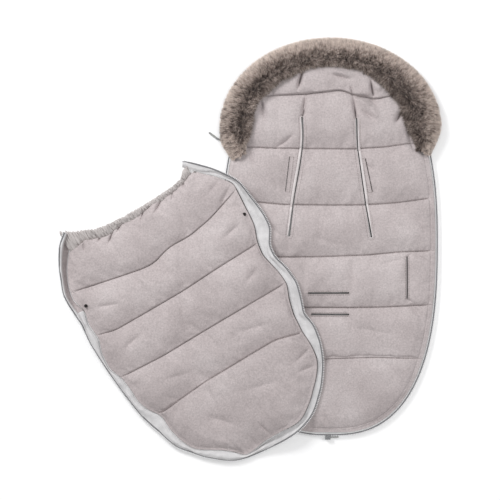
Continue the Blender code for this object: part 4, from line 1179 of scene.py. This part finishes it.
def fur_finish():
    """Colour along each hair from its root to its tip, with every hair a little different."""
    material, tree, shader = new_finish("brown_fake_fur", 0.62, sheen=0.3)
    along = tree.nodes.new("ShaderNodeAttribute")
    along.attribute_name = "along"
    tone = tree.nodes.new("ShaderNodeAttribute")
    tone.attribute_name = "tone"
    hair = add_ramp(tree, along.outputs["Fac"], HAIR_SHADES)
    mark = add_ramp(tree, tone.outputs["Fac"], TONE_SHADES)
    tree.links.new(mix_colours(tree, hair, mark, 1.0, "MULTIPLY"), shader.inputs["Base Color"])
    return material


FUR = fur_finish()
CORE = woven_finish("fur_core_cloth", "2c231f", "4a3c35", 1300.0)
core_shares = np.linspace(0.012, 0.985, CORE_SECTIONS)
fur_core = loft("fur_trim_core", [core_section(share) for share in core_shares], CORE)
# The outer fabric is turned round the trim's underside.
fur_core.data.materials.append(SHELL)
for face in fur_core.data.polygons[:CORE_SIDES * (CORE_SECTIONS - 1)]:
    face.material_index = 1 if face.index % CORE_SIDES >= CORE_SIDES // 2 else 0
ride_on("hood", fur_core, "brown_fur", "fur_pile")
print("core of", CORE_SECTIONS, "sections")

# %% [markdown]
# Each hair starts on the core and leans outwards, and its neighbours share its lock and its slower swirl.
# It gets two marks for its colour: how far along it a point is, and how pale the whole hair is. The
# paleness holds a painted highlight on the outer hairs at the top of the hood.

# %% Hairs
HAIRS_IN_A_THIRD = 30000
HAIR_LENGTH = 0.0215
HAIR_HALF_WIDTH = 0.00034
HAIR_STEPS = (0.0, 0.4, 0.75, 1.0)
HAIR_WIDTHS = (1.0, 0.95, 0.6)
HAIR_SAG = 0.42
ROOT_DEPTH = 0.96             # roots sit a little inside the core's surface
LOCKS_PER_METRE = 235.0
SWIRLS_PER_METRE = 23.0
UP = Vector((0.0, 0.0, 1.0))
FUR_SEED = 24
dice = np.random.default_rng(FUR_SEED)
noise.seed_set(FUR_SEED)


def hair_root(place, out, full, inner, cos, sin):
    spot = place + out * (CORE_HALF_WIDTH * full * ROOT_DEPTH * cos * inner)
    return Vector((spot.x, spot.y, CORE_MIDDLE + CORE_RISE * full * ROOT_DEPTH * max(sin, -0.25)))


def hair_direction(root, out, along, lock, lean, cos, sin, end_pull):
    """Away from the core and outwards, turned by the lock and the swirl and a little by chance."""
    swirl = noise.noise_vector(root * SWIRLS_PER_METRE + Vector((5.0, 1.0, 3.0)))
    direction = out.to_3d() * (cos + 0.62) + UP * (max(sin, 0.05) * 0.75)
    direction += along.to_3d() * (0.22 * end_pull ** 3 + 0.10 * lean[0])
    direction += lock * 0.60 + swirl * 0.25 + Vector((lean[1], lean[2], 0.4 * lean[0])) * 0.10
    direction.z = max(direction.z, 0.02)
    return direction.normalized()


def hair_paleness_and_highlight(share, cos, lock, tone, end_pull):
    """Outer hairs are paler than those facing the child's head; at the hood's top a painted highlight adds to
    it.
    """
    pale = 0.38 + 0.40 * float(ease((cos + 0.60) / 1.3)) + 0.08 * max(-cos - 0.6, 0.0)
    pale += 1.15 * lock.x + 0.85 * (tone - 0.5) - 0.26 * max(-end_pull, 0.0)
    pale -= 0.30 * max(end_pull, 0.0) * max(-cos, 0.0)
    # Painted highlight: outer hairs near the top of the hood are paler where the light falls from above.
    pale += 0.26 * math.sin(math.pi * share) ** 2 * max(cos + 0.3, 0.0)
    pale += 0.55 * max(-end_pull - 0.86, 0.0) / 0.14
    return min(max(pale, 0.0), 1.0)


def grow_hairs(name, first_share, last_share):
    points, faces, along_marks, paleness_and_highlight_marks = [], [], [], []
    shares = dice.uniform(first_share, last_share, HAIRS_IN_A_THIRD)
    turns = dice.uniform(-0.16, 1.16, HAIRS_IN_A_THIRD) * math.pi
    lengths = dice.uniform(0.72, 1.12, HAIRS_IN_A_THIRD)
    leans = dice.normal(0.0, 1.0, (HAIRS_IN_A_THIRD, 3))
    tones = dice.uniform(0.0, 1.0, HAIRS_IN_A_THIRD)
    for share, turn, length, lean, tone in zip(shares, turns, lengths, leans, tones):
        place, out, along = fur_frame(share)
        full = fur_fullness(share)
        cos, sin = math.cos(turn), math.sin(turn)
        inner = inner_reach(share, cos)
        end_pull = (share - 0.5) * 2.0
        root = hair_root(place, out, full, inner, cos, sin)
        lock = noise.noise_vector(root * LOCKS_PER_METRE)
        direction = hair_direction(root, out, along, lock, lean, cos, sin, end_pull)
        reach = HAIR_LENGTH * (0.55 + 0.45 * full) * length * (0.4 + 0.6 * inner)
        reach *= 1.0 - 0.13 * math.sin(math.pi * share) ** 4
        side = direction.cross(UP)
        if side.length < 0.05:
            side = along.to_3d()
        side = side.normalized() + UP * (0.25 * lean[1])
        spots = []
        for step in HAIR_STEPS:
            spot = root + direction * (reach * step) - UP * (HAIR_SAG * reach * step * step)
            spot.z = max(spot.z, 0.0012)
            spots.append(spot)
        start = len(points)
        for spot, width in zip(spots, HAIR_WIDTHS):
            points += [spot - side * (HAIR_HALF_WIDTH * width), spot + side * (HAIR_HALF_WIDTH * width)]
        points.append(spots[3])
        faces += [(start, start + 1, start + 3, start + 2), (start + 2, start + 3, start + 5, start + 4),
                  (start + 4, start + 5, start + 6)]
        along_marks += [0.05, 0.05, 0.45, 0.45, 0.8, 0.8, 1.0]
        paleness_and_highlight_marks += [hair_paleness_and_highlight(share, cos, lock, tone, end_pull)] * 7
    piece = new_piece(name, points, faces, FUR, closed=False)
    for label, values in (("along", along_marks), ("tone", paleness_and_highlight_marks)):
        mark = piece.data.attributes.new(label, "FLOAT", "POINT")
        mark.data.foreach_set("value", np.array(values, dtype=np.float32))
    ride_on("hood", piece, "brown_fur")


grow_hairs("fur_hairs_left", 0.0, 0.34)
grow_hairs("fur_hairs_top", 0.34, 0.67)
grow_hairs("fur_hairs_right", 0.67, 1.0)
print(3 * HAIRS_IN_A_THIRD, "hairs")

# %% [markdown]
# The fur is sewn to a strip of light backing, which peeps out along the inner edge. In the hood's wadding
# runs the flat elastic that gathers it. Both are bands along the hood's edge.

# %% Backing and hood elastic
HOOD_BAND_SPACING = 0.0101


def hood_band(name, inset, ends_y, sides, height, thickness):
    """A flat band at one distance inside the hood's edge, from its left end round to its right end."""
    starts = [math.asin((y / MAT.head_length) ** (MAT.head_power / 2.0)) for y in ends_y]
    angles = np.linspace(starts[0], math.pi - starts[1], 500)
    power = 2.0 / MAT.head_power
    x = -MAT.half_width * np.sign(np.cos(angles)) * np.abs(np.cos(angles)) ** power
    y = MAT.head_length * np.sin(angles) ** power
    points, _ = even_line(beside_edge(MAT, x, y, -inset), HOOD_BAND_SPACING)
    return flat_band(name, points, line_normals(points), *sides, height, thickness, BAND)


backing = hood_band("fur_backing_strip", 0.0, (0.2000, 0.2090), (-0.0185, 0.0015), 0.0106, 0.0012)
ride_on("hood", backing, "light_woven_tape", "fur_backing")
hood_elastic = hood_band("hood_elastic_band", 0.0270, (0.2170, 0.2170), (-0.0030, 0.0030), 0.0036, 0.0010)
ride_on("hood", hood_elastic, "white_elastic", "hood_elastic")
print("backing and elastic")

# %% [markdown]
# The cover lies beside the mat, turned 30 degrees, and its right side climbs on to the mat. It is built
# in its own frame, with +Y towards its rim, and every finished mesh is turned and moved into place. The
# lines below are where the lining ends, where the zip runs and where the gathered rim lies, read from the
# photo.

# %% Lines of the cover
COVER_PLACE = (-0.3629, -0.1046)
COVER_TURN = math.radians(30.0)
DRAPE_TOP = 0.0212
DRAPE_RUN = 0.100
DRAPE_REACH = 0.115
MAT_BORDER = 0.0096           # the zip reaches this far past the mat's cloth
LINING_EDGE = [
    (0.1700, 0.2180), (0.1812, 0.2033), (0.2137, 0.1721), (0.2359, 0.1415), (0.2345, 0.1185),
    (0.2324, 0.0837), (0.2293, 0.0312), (0.2151, -0.0088), (0.2109, -0.0424), (0.2240, -0.0980),
    (0.2265, -0.1296), (0.2128, -0.1639), (0.2037, -0.2004), (0.2009, -0.2470), (0.2031, -0.2901),
    (0.1987, -0.3236), (0.1855, -0.3465), (0.1532, -0.3819), (0.1210, -0.4112), (0.0919, -0.4305),
    (0.0429, -0.4324), (-0.0063, -0.4339), (-0.0391, -0.4390), (-0.0696, -0.4395), (-0.0835, -0.4223),
    (-0.1082, -0.4022), (-0.1352, -0.3866), (-0.1699, -0.3636), (-0.1867, -0.3298), (-0.1962, -0.2944),
    (-0.1966, -0.2639), (-0.2004, -0.2498), (-0.2177, -0.2276), (-0.2299, -0.1967), (-0.2303, -0.1663),
    (-0.2351, -0.1275), (-0.2494, -0.0951), (-0.2469, -0.0544), (-0.2357, -0.0191), (-0.2399, 0.0255),
    (-0.2311, 0.0564), (-0.2428, 0.0934), (-0.2361, 0.1256), (-0.2190, 0.1639), (-0.2007, 0.1893),
    (-0.1830, 0.2099),
]
OUTER_EDGE = [
    (0.1680, 0.2428), (0.1911, 0.2203), (0.2268, 0.1781), (0.2488, 0.1432), (0.2563, 0.0938),
    (0.2626, 0.0419), (0.2605, 0.0070), (0.2375, -0.0276), (0.2344, -0.0588), (0.2451, -0.0921),
    (0.2495, -0.1368), (0.2402, -0.1736), (0.2263, -0.2135), (0.2334, -0.2478), (0.2262, -0.2915),
    (0.2133, -0.3262), (0.1891, -0.3663), (0.1541, -0.4062), (0.1197, -0.4346), (0.0745, -0.4506),
    (0.0240, -0.4544), (-0.0399, -0.4505), (-0.0935, -0.4395), (-0.1366, -0.4096), (-0.1783, -0.3676),
    (-0.2034, -0.3381), (-0.2211, -0.2858), (-0.2371, -0.2405), (-0.2459, -0.1933), (-0.2535, -0.1230),
    (-0.2571, -0.0668), (-0.2589, -0.0176), (-0.2534, 0.0333), (-0.2559, 0.0707), (-0.2557, 0.1128),
    (-0.2429, 0.1475), (-0.2240, 0.1906), (-0.2013, 0.2257), (-0.1807, 0.2427),
]
RIM_OUTER = [
    (-0.1960, 0.2560), (-0.1802, 0.2490), (-0.1519, 0.2330), (-0.1118, 0.2162), (-0.0737, 0.2091),
    (-0.0273, 0.2065), (0.0205, 0.2057), (0.0639, 0.2079), (0.1013, 0.2104), (0.1283, 0.2158),
    (0.1443, 0.2305), (0.1800, 0.2500),
]
RIM_INNER = [
    (-0.2100, 0.1900), (-0.1971, 0.1931), (-0.1855, 0.1945), (-0.1436, 0.2030), (-0.1175, 0.1942),
    (-0.1041, 0.1890), (-0.0919, 0.1838), (-0.0739, 0.1886), (-0.0499, 0.1950), (-0.0216, 0.1880),
    (-0.0003, 0.1909), (0.0197, 0.1943), (0.0456, 0.1974), (0.0663, 0.1935), (0.1204, 0.2030),
    (0.1500, 0.2120), (0.1755, 0.2190), (0.2100, 0.2260),
]
LEFT_TRIM_Y = 0.2280
RIGHT_TRIM_Y = 0.2400


def to_floor(x, y):
    cos, sin = math.cos(COVER_TURN), math.sin(COVER_TURN)
    return COVER_PLACE[0] + x * cos - y * sin, COVER_PLACE[1] + x * sin + y * cos


def drape(x, y):
    """Height of the surface under the cover: the floor, then the mat."""
    floor_x, floor_y = to_floor(x, y)
    inside = MAT.distance(floor_x, floor_y) + MAT_BORDER
    return DRAPE_TOP * ease((inside + DRAPE_RUN) / DRAPE_REACH)


def drape_at(x, y):
    return float(drape(np.float64(x), np.float64(y)))


sewn_path, sewn_normals, sewn_places = edge_path(COVER, LEFT_TRIM_Y, RIGHT_TRIM_Y, 0.0, 0.002)
sewn_length = float(sewn_places[-1])
sewn_shares = sewn_places / sewn_length


def nearest_sewn(point):
    """Number of the sewing line's nearest place, and the way from the point to it."""
    away = sewn_path - np.array(point)
    nearest = int(np.argmin(np.hypot(away[:, 0], away[:, 1])))
    return nearest, away[nearest]


def offsets_from(points):
    """Distance of a drawn line from the sewing line, as a smooth function of the share of the way round."""
    shares, offsets = [], []
    for point in points:
        nearest, away = nearest_sewn(point)
        shares.append(sewn_shares[nearest])
        offsets.append(-float(away @ sewn_normals[nearest]))
    order = np.argsort(shares)
    fine = np.linspace(0.0, 1.0, 601)
    table = np.interp(fine, np.array(shares)[order], np.array(offsets)[order])
    window = np.hanning(13)
    padded = np.concatenate([[table[0]] * 6, table, [table[-1]] * 6])
    smooth = np.convolve(padded, window / window.sum(), mode="valid")
    return lambda share: float(np.interp(share, fine, smooth))


def drawn_line(points):
    """A function of x through drawn points."""
    ordered = np.array(points)
    return lambda x: np.interp(x, ordered[:, 0], ordered[:, 1])


lining_offset = offsets_from(LINING_EDGE)
outer_offset = offsets_from(OUTER_EDGE)
rim_outer = drawn_line(RIM_OUTER)
rim_inner = drawn_line(RIM_INNER)
print("sewing line", round(sewn_length, 3), "m, lining starts", round(lining_offset(0.0), 4), "m from it")

# %% [markdown]
# The cover's pad is quilted like the mat's. Its edge is then drawn in and out, because the gusset pulls
# on it, and the elastic at the rim puckers the lining in short folds.

# %% Cover pad
COVER_SEAMS = [
    [(-0.2225, 0.1080), (-0.1136, 0.0853), (-0.0560, 0.0740), (-0.0267, 0.0726), (0.0100, 0.0840),
     (0.0290, 0.0875), (0.0800, 0.0860), (0.1425, 0.0968), (0.2313, 0.1259)],
    [(-0.2359, -0.0089), (-0.1860, -0.0211), (0.0000, -0.0204), (0.1176, -0.0134), (0.2134, -0.0106)],
    [(-0.2354, -0.1255), (-0.1195, -0.1315), (0.0516, -0.1279), (0.2268, -0.1265)],
    [(-0.1987, -0.2494), (-0.0667, -0.2369), (0.0473, -0.2335), (0.1325, -0.2326), (0.2023, -0.2508)],
]
DRAW_DEPTH = 0.045
TUCK_UNDER = 0.0020


def place_cover_piece(piece, slot, *nodes):
    """Turns a finished piece into place and lets it ride on the cover."""
    points = read_points(piece.data)
    points[:, 0], points[:, 1] = to_floor(points[:, 0].copy(), points[:, 1].copy())
    write_points(piece.data, points)
    ride_on("cover", piece, slot, *nodes)


def draw_edge(piece):
    """Moves the edge of a cover piece to the drawn line of the lining."""
    points = read_points(piece.data)
    before = drape(points[:, 0], points[:, 1])
    distances = COVER.distance(points[:, 0], points[:, 1]) - CLOTH_MARGIN
    moved = points.copy()
    for index in np.nonzero(distances <= DRAW_DEPTH)[0]:
        nearest, _ = nearest_sewn(points[index, :2])
        pull = (1.0 - np.clip(distances[index] / DRAW_DEPTH, 0.0, 1.0)) ** 2
        wanted = lining_offset(sewn_shares[nearest]) + TUCK_UNDER - CLOTH_MARGIN
        moved[index, :2] += sewn_normals[nearest] * wanted * pull
    moved[:, 2] += drape(moved[:, 0], moved[:, 1]) - before
    write_points(piece.data, moved)


def pad_rim(x):
    return rim_inner(x) + 0.0015


COVER_FOLDS = [
    ((0.196, 0.05), (0.15, 0.04), 0.009, 0.0026), ((-0.2, 0.05), (-0.15, 0.03), 0.009, 0.0024),
    ((0.185, -0.06), (0.14, -0.08), 0.011, 0.0022), ((-0.19, -0.07), (-0.14, -0.06), 0.01, 0.0024),
    ((-0.15, -0.18), (-0.08, -0.2), 0.013, 0.002), ((0.06, -0.17), (0.14, -0.19), 0.012, 0.002),
    ((0.01, -0.3), (0.09, -0.32), 0.015, 0.002), ((-0.1, -0.31), (-0.05, -0.36), 0.013, 0.0022),
    ((0.196, -0.29), (0.15, -0.3), 0.006, 0.0024), ((0.19, -0.33), (0.14, -0.325), 0.006, 0.0022),
    ((0.01, -0.425), (0.000, -0.385), 0.005, 0.0026), ((-0.03, -0.43), (-0.035, -0.4), 0.005, 0.0018),
    ((0.205, 0.165), (0.17, 0.15), 0.007, 0.0024), ((0.215, 0.14), (0.18, 0.11), 0.007, 0.002),
    ((0.0654, 0.1957), (0.034, 0.1757), 0.004, 0.0034),
    ((0.0142, 0.1945), (-0.0053, 0.1751), 0.0036, 0.0034),
    ((-0.0453, 0.197), (-0.0687, 0.1798), 0.004, 0.0036),
    ((-0.0726, 0.19), (-0.0983, 0.1674), 0.0044, 0.0038),
    ((-0.1019, 0.1953), (-0.1197, 0.183), 0.0036, 0.0034),
    ((-0.15, 0.199), (-0.158, 0.18), 0.0044, 0.003), ((0.096, 0.2), (0.088, 0.183), 0.0036, 0.0028),
    ((0.13, 0.208), (0.125, 0.19), 0.004, 0.0028),
]
PUCKER_DEPTH = 0.0070
COVER_COUNTS = [30, 26, 26, 26, 40]
COVER_COLUMNS = 84
COVER_CLOTH_COUNTS = [10, 10, 10, 10, 14]
COVER_CLOTH_COLUMNS = 40
CLOTH_TOP_Y = 0.1992
cover_lines = channel_lines(COVER, COVER_SEAMS, pad_rim)
cover_pad = quilted_pad("cover_pad", COVER, cover_lines, COVER_COUNTS, COVER_COLUMNS, COVER_SEAMS, drape)
refine_top(cover_pad, COVER, COVER_SEAMS, drape, COVER_FOLDS, 31, tight=COVER_SEAMS[-1:])


def pucker_at_rim(piece):
    """The elastic gathers the rim, so short folds run into the lining and the lining bulges between them."""
    points = read_points(piece.data)
    x, y = points[:, 0], points[:, 1]
    gap = np.maximum(pad_rim(x) - y, 0.0)
    height = points[:, 2] - drape(x, y)
    lobes = roughen(x + 0.10 * gap, y * 0.10, 0.026, 52)
    folds = -np.abs(roughen(x, y * 0.12, 0.017, 51)) ** 0.6
    change = PUCKER_DEPTH * (lobes * np.exp(-(gap / 0.042)) + (folds + 0.40) * np.exp(-(gap / 0.024)))
    points[:, 2] = np.where(height > 0.006, np.maximum(height + change, 0.0045), height) + drape(x, y)
    write_points(piece.data, points)


pucker_at_rim(cover_pad)
draw_edge(cover_pad)
cover_surface = surface_of(cover_pad)


def cover_top(x, y):
    return pad_top(x, y, cover_surface)


cover_spots = []
for seam in COVER_SEAMS:
    run = [place for place in seam_run(seam, -0.26, 0.26) if height_on(cover_surface, *place) is not None]
    cover_spots += stitch_points(run[1:-1], cover_top)
place_cover_piece(stitching("cover_quilting_stitches", cover_spots, QUILT_THREAD), "grey_fleece")
place_cover_piece(cover_pad, "grey_fleece", "cover_lining", "cover_wadding")
cover_cloth = outer_cloth(
    "cover_outer_cloth", COVER, cover_lines, COVER_CLOTH_COUNTS, COVER_CLOTH_COLUMNS, COVER_SEAMS, drape)
draw_edge(cover_cloth)
place_cover_piece(cover_cloth, "outer_fabric", "cover_shell")
cover_area = flat_area(COVER, CLOTH_TOP_Y, 300)

# %% [markdown]
# Round the cover runs a light woven gusset that lifts it over the child's legs. Laid flat it curls
# outwards in flat facets with crisp folds between them, and at the upper left it stands up as a wall. Its
# outer edge carries the other half of the zip.

# %% Gusset
WALL_SHARES = [0.0, 0.02, 0.06, 0.10, 0.125, 0.16, 0.24]
WALL_AMOUNTS = [0.8, 1.0, 1.0, 0.95, 0.6, 0.3, 0.0]
WALL_HEIGHT = 0.0170
FLEECE_WALL = 0.75            # where the wall is taller than this share, its inner face shows fleece
GUSSET_START = 0.0012         # under the lining's edge
GUSSET_END = 0.0042           # inside the drawn outer edge
GUSSET_THICK = 0.0008
GUSSET_STEPS = 14


def ripple(share, wavelength, seed):
    """Smooth noise along the gusset, from -1 to 1."""
    return noise.noise(Vector((share * sewn_length / wavelength, seed * 9.1, seed * 3.3)))


def crease(share, wavelength, seed):
    """Sharp ridges along the gusset, from 0 to 1."""
    return 1.0 - min(abs(ripple(share, wavelength, seed)) * 2.2, 1.0)


def wall_at(share):
    """How much the gusset stands up: 0 is laid flat and 1 is a wall."""
    return float(np.interp(share, WALL_SHARES, WALL_AMOUNTS))


def gusset_profile(share, step, start=0.0108):
    """Distance from the sewing line and height of the gusset, from step 0 at the pad to step 1 outside."""
    inner = lining_offset(share) - GUSSET_START
    outer = outer_offset(share) - GUSSET_END
    wall = wall_at(share)
    edge = max(0.0082 + 0.0042 * ripple(share, 0.090, 3) + WALL_HEIGHT * wall, 0.0036)
    start = start * (1.0 - wall) + 0.0020 * wall
    crest = (0.0040 + 0.0040 * ripple(share, 0.050, 2)) * (1.0 - wall)
    lean = 0.45 + 0.26 * ripple(share, 0.070, 5)
    rise = step / lean if step < lean else (1.0 - step) / (1.0 - lean)
    arch = math.sin(0.5 * math.pi * max(rise, 0.0)) ** 1.3
    flutter = 0.0036 * (crease(share + 0.006 * step, 0.040, 7) - 0.5) * math.sin(math.pi * step)
    climb = step * (1.0 - wall) + float(ease((step - 0.60) / 0.20)) * wall
    height = start + (edge - start) * climb + crest * arch + flutter
    return inner + (outer - inner) * step, max(height, 0.0012)


def clear_of_mat(x, y, z, gap):
    """Keeps a place of the cover above the quilting of the mat that it lies on."""
    below = height_on(pad_surface, *to_floor(x, y))
    return z if below is None else max(z, below + gap)


def gusset_section(point, normal, share):
    """The gusset's upper face from the pad outwards, then its lower face back."""
    first_x, first_y = beside(point, normal, lining_offset(share) - GUSSET_START)
    start = cover_top(first_x, first_y) - drape_at(first_x, first_y) - 0.0030
    spots = []
    for number in range(GUSSET_STEPS + 1):
        across, height = gusset_profile(share, number / GUSSET_STEPS, start)
        x, y = beside(point, normal, across)
        z = drape_at(x, y) + height
        below = height_on(cover_surface, x, y)
        if below is not None and number > 0:
            z = max(z, below + 0.0010)
        spots.append((x, y, clear_of_mat(x, y, z, 0.0016)))
    upper = [(x, y, z + GUSSET_THICK / 2.0) for x, y, z in spots]
    lower = [(x, y, z - GUSSET_THICK / 2.0) for x, y, z in reversed(spots)]
    return upper + lower


def cloth_area(piece):
    """Area of one side of a thin closed piece, in square metres."""
    return 0.5 * sum(face.area for face in piece.data.polygons)


gusset_sections = [gusset_section(*place) for place in zip(sewn_path, sewn_normals, sewn_shares)]
gusset = loft("cover_gusset_band", gusset_sections, BAND)
gusset.data.materials.append(FLEECE)
ring = len(gusset_sections[0])
for face in gusset.data.polygons[:ring * (len(gusset_sections) - 1)]:
    at_wall = wall_at(sewn_shares[face.index // ring]) > FLEECE_WALL
    face.material_index = 1 if at_wall and face.index % ring < 0.66 * GUSSET_STEPS else 0
place_cover_piece(gusset, "light_woven_tape", "cover_gusset")
print("gusset", round(sewn_length, 2), "m round the cover, area", round(cloth_area(gusset), 4), "m2")

# %% [markdown]
# The other half of the zip follows the gusset's outer edge, with the same tape and teeth as on the mat. A
# stop closes its left end and the insertion pin is at its right end.

# %% Zip of the cover
BLOCK_CORNERS = [
    (-0.5, -0.4), (-0.4, -0.5), (0.4, -0.5), (0.5, -0.4), (0.5, 0.4), (0.4, 0.5), (-0.4, 0.5), (-0.5, 0.4),
]
BLOCK_LEVELS = [(-0.5, 0.90), (-0.3, 1.0), (0.3, 1.0), (0.5, 0.90)]
STOP_SIZE = (0.0046, 0.0034, 0.0026)
PIN_SIZE = (0.0030, 0.0090, 0.0024)


def cover_edge(offset, spacing, trim):
    """Places along the gusset's outer edge: plan points, normals and heights."""
    line = []
    for point, normal, share in zip(sewn_path, sewn_normals, sewn_shares):
        across, height = gusset_profile(share, 1.0)
        line.append((*beside(point, normal, across), height))
    spots, _ = even_line(np.array(line), spacing, trim)
    normals = line_normals(spots[:, :2])
    plan = spots[:, :2] + normals * offset
    raised = [drape_at(x, y) + height for (x, y), height in zip(plan, spots[:, 2])]
    heights = [clear_of_mat(x, y, height, 0.0018) for (x, y), height in zip(plan, raised)]
    return plan, normals, heights


def zip_end(name, place, normal, height, sizes, node):
    """A small moulded block with rounded edges at one end of the zip."""
    points = []
    for level, size in BLOCK_LEVELS:
        for across, forward in BLOCK_CORNERS:
            spot = beside(place, normal, across * sizes[0] * size, forward * sizes[1] * size)
            points.append((*spot, height + level * sizes[2]))
    block = new_piece(name, points, skin_faces(0, len(BLOCK_CORNERS), len(BLOCK_LEVELS)), METAL, 60)
    place_cover_piece(block, "grey_zip_metal", node)


edge_points, edge_normals, edge_heights = cover_edge(0.0, 0.004, 0.0)
cover_tape = flat_band(
    "cover_zip_tape_woven", edge_points, edge_normals, -0.0012, 0.0022, edge_heights, 0.0009, TAPE, 0.0009)
place_cover_piece(cover_tape, "light_woven_tape", "cover_zip_tape")
cover_teeth = zip_teeth("cover_zip_teeth_moulded", *cover_edge(0.0012, TOOTH_PITCH, 0.004))
place_cover_piece(cover_teeth, "zip_teeth", "cover_zip_teeth")
zip_ends = list(zip(*cover_edge(0.0014, 0.002, 0.0015)))
zip_end("cover_zip_bottom_stop", *zip_ends[0], STOP_SIZE, "cover_zip_stop")
zip_end("cover_zip_insertion_pin", *zip_ends[-1], PIN_SIZE, "cover_zip_pin")
print(len(cover_teeth.data.vertices) // (len(TOOTH_OUTLINE) * len(TOOTH_LEVELS)), "teeth on the cover")

# %% [markdown]
# The rim ends in a tunnel of thin fabric with an elastic in it. The elastic draws the tunnel into close
# gathers, so its section swells and narrows every few millimetres, and near both corners it is wider and
# flatter.

# %% Gathered rim
RIM_LEFT_X = -0.188
RIM_RIGHT_X = 0.158
CASING_SECTIONS = 760
CASING_SIDES = 28
CASING_HALF_HEIGHT = 0.0056
CASING_LIFT = 0.0012
CASING_OVERLAP = 0.0036       # the tunnel lies this far over the lining
ELASTIC_HALF_WIDTH = 0.0034
ELASTIC_HEIGHTS = (0.0014, 0.0028)


def pleat(x, pitch, seed):
    """Rounded gathers of about one pitch each: 0 in the folds between them, 1 on their backs."""
    drift = 0.9 * noise.noise(Vector((x / (pitch * 2.6), seed * 4.7, seed * 1.9)))
    return abs(math.sin(math.pi * (x / pitch + drift)))


def casing_spine(x):
    """Middle of the tunnel at one place along the rim, half its width and the height of the ground."""
    high_y, low_y = float(rim_outer(x)), float(rim_inner(x)) - CASING_OVERLAP
    middle = 0.5 * (high_y + low_y)
    return middle, 0.5 * (high_y - low_y), drape_at(x, middle)


def casing_section(x):
    middle, half, base = casing_spine(x)
    size = 0.75 + 0.5 * noise.noise(Vector((x / 0.011, 2.0, 6.0)))
    section = []
    for step in range(CASING_SIDES):
        angle = 2.0 * math.pi * step / CASING_SIDES
        side = math.cos(angle)
        lean = x + 0.0050 * side * noise.noise(Vector((x / 0.016, 5.0, 2.0)))
        lobe = pleat(lean, 0.0062, 1) if side > 0.0 else pleat(lean + 0.0031, 0.0094, 3)
        knot = noise.noise(Vector((x / 0.0050, 1.8 * side, 8.0 + 0.8 * math.sin(angle))))
        fold = min(max(1.0 - (1.0 - lobe) ** 2 + knot, 0.0), 1.4)
        reach = half * (1.0 + 0.24 * (fold - 1.0) * abs(side))
        high = CASING_HALF_HEIGHT * (0.45 + 0.75 * fold * size)
        y = middle + reach * math.copysign(abs(side) ** 0.75, side)
        height = CASING_HALF_HEIGHT + CASING_LIFT - 0.0030 * max(-side, 0.0) + high * math.sin(angle)
        section.append((x, y, base + max(height, 0.0004)))
    return section


casing_places = np.linspace(RIM_LEFT_X, RIM_RIGHT_X, CASING_SECTIONS)
casing = loft("cover_rim_casing_gathered", [casing_section(x) for x in casing_places], CASING_CLOTH)
place_cover_piece(casing, "light_woven_tape", "cover_rim_casing")
print("casing area", round(cloth_area(casing), 4), "m2")
elastic_sections = []
for x in casing_places[6:-6:8]:
    y, _, base = casing_spine(x)
    low, high = [base + CASING_HALF_HEIGHT + height for height in ELASTIC_HEIGHTS]
    near, far = y - ELASTIC_HALF_WIDTH, y + ELASTIC_HALF_WIDTH
    elastic_sections.append([(x, near, low), (x, far, low), (x, far, high), (x, near, high)])
rim_elastic = loft("cover_rim_elastic_band", elastic_sections, BAND)
place_cover_piece(rim_elastic, "white_elastic", "cover_rim_elastic")
print("rim casing of", CASING_SECTIONS, "sections")

# %% [markdown]
# The sliders, pulls, stops and press studs keep their CAD shapes. They get rounded edges and a worn metal
# finish.

# %% Metal pieces
EDGE_ROUNDING_WIDTH = 0.00028
HARDWARE = {
    "zip_retainer_box": METAL, "zip_top_stop": METAL,
    "upper_zip_slider": METAL, "lower_zip_slider": METAL, "upper_pull_link": METAL,
    "upper_pull_tab": PULL_METAL, "lower_pull_tab": PULL_METAL,
    "left_stud_socket": STUD_METAL, "right_stud_socket": STUD_METAL,
    "left_stud_cap": STUD_METAL, "right_stud_cap": STUD_METAL,
}
for node, material in HARDWARE.items():
    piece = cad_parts[node]
    for slot_number in range(max(len(piece.material_slots), 1)):
        if not piece.material_slots:
            piece.data.materials.append(material)
        piece.material_slots[slot_number].link = "OBJECT"
        piece.material_slots[slot_number].material = material
    rounding = piece.modifiers.new("rounding", "BEVEL")
    rounding.width = EDGE_ROUNDING_WIDTH
    rounding.segments = 2
    rounding.limit_method = "ANGLE"
    rounding.angle_limit = math.radians(40.0)
print(len(HARDWARE), "metal pieces")
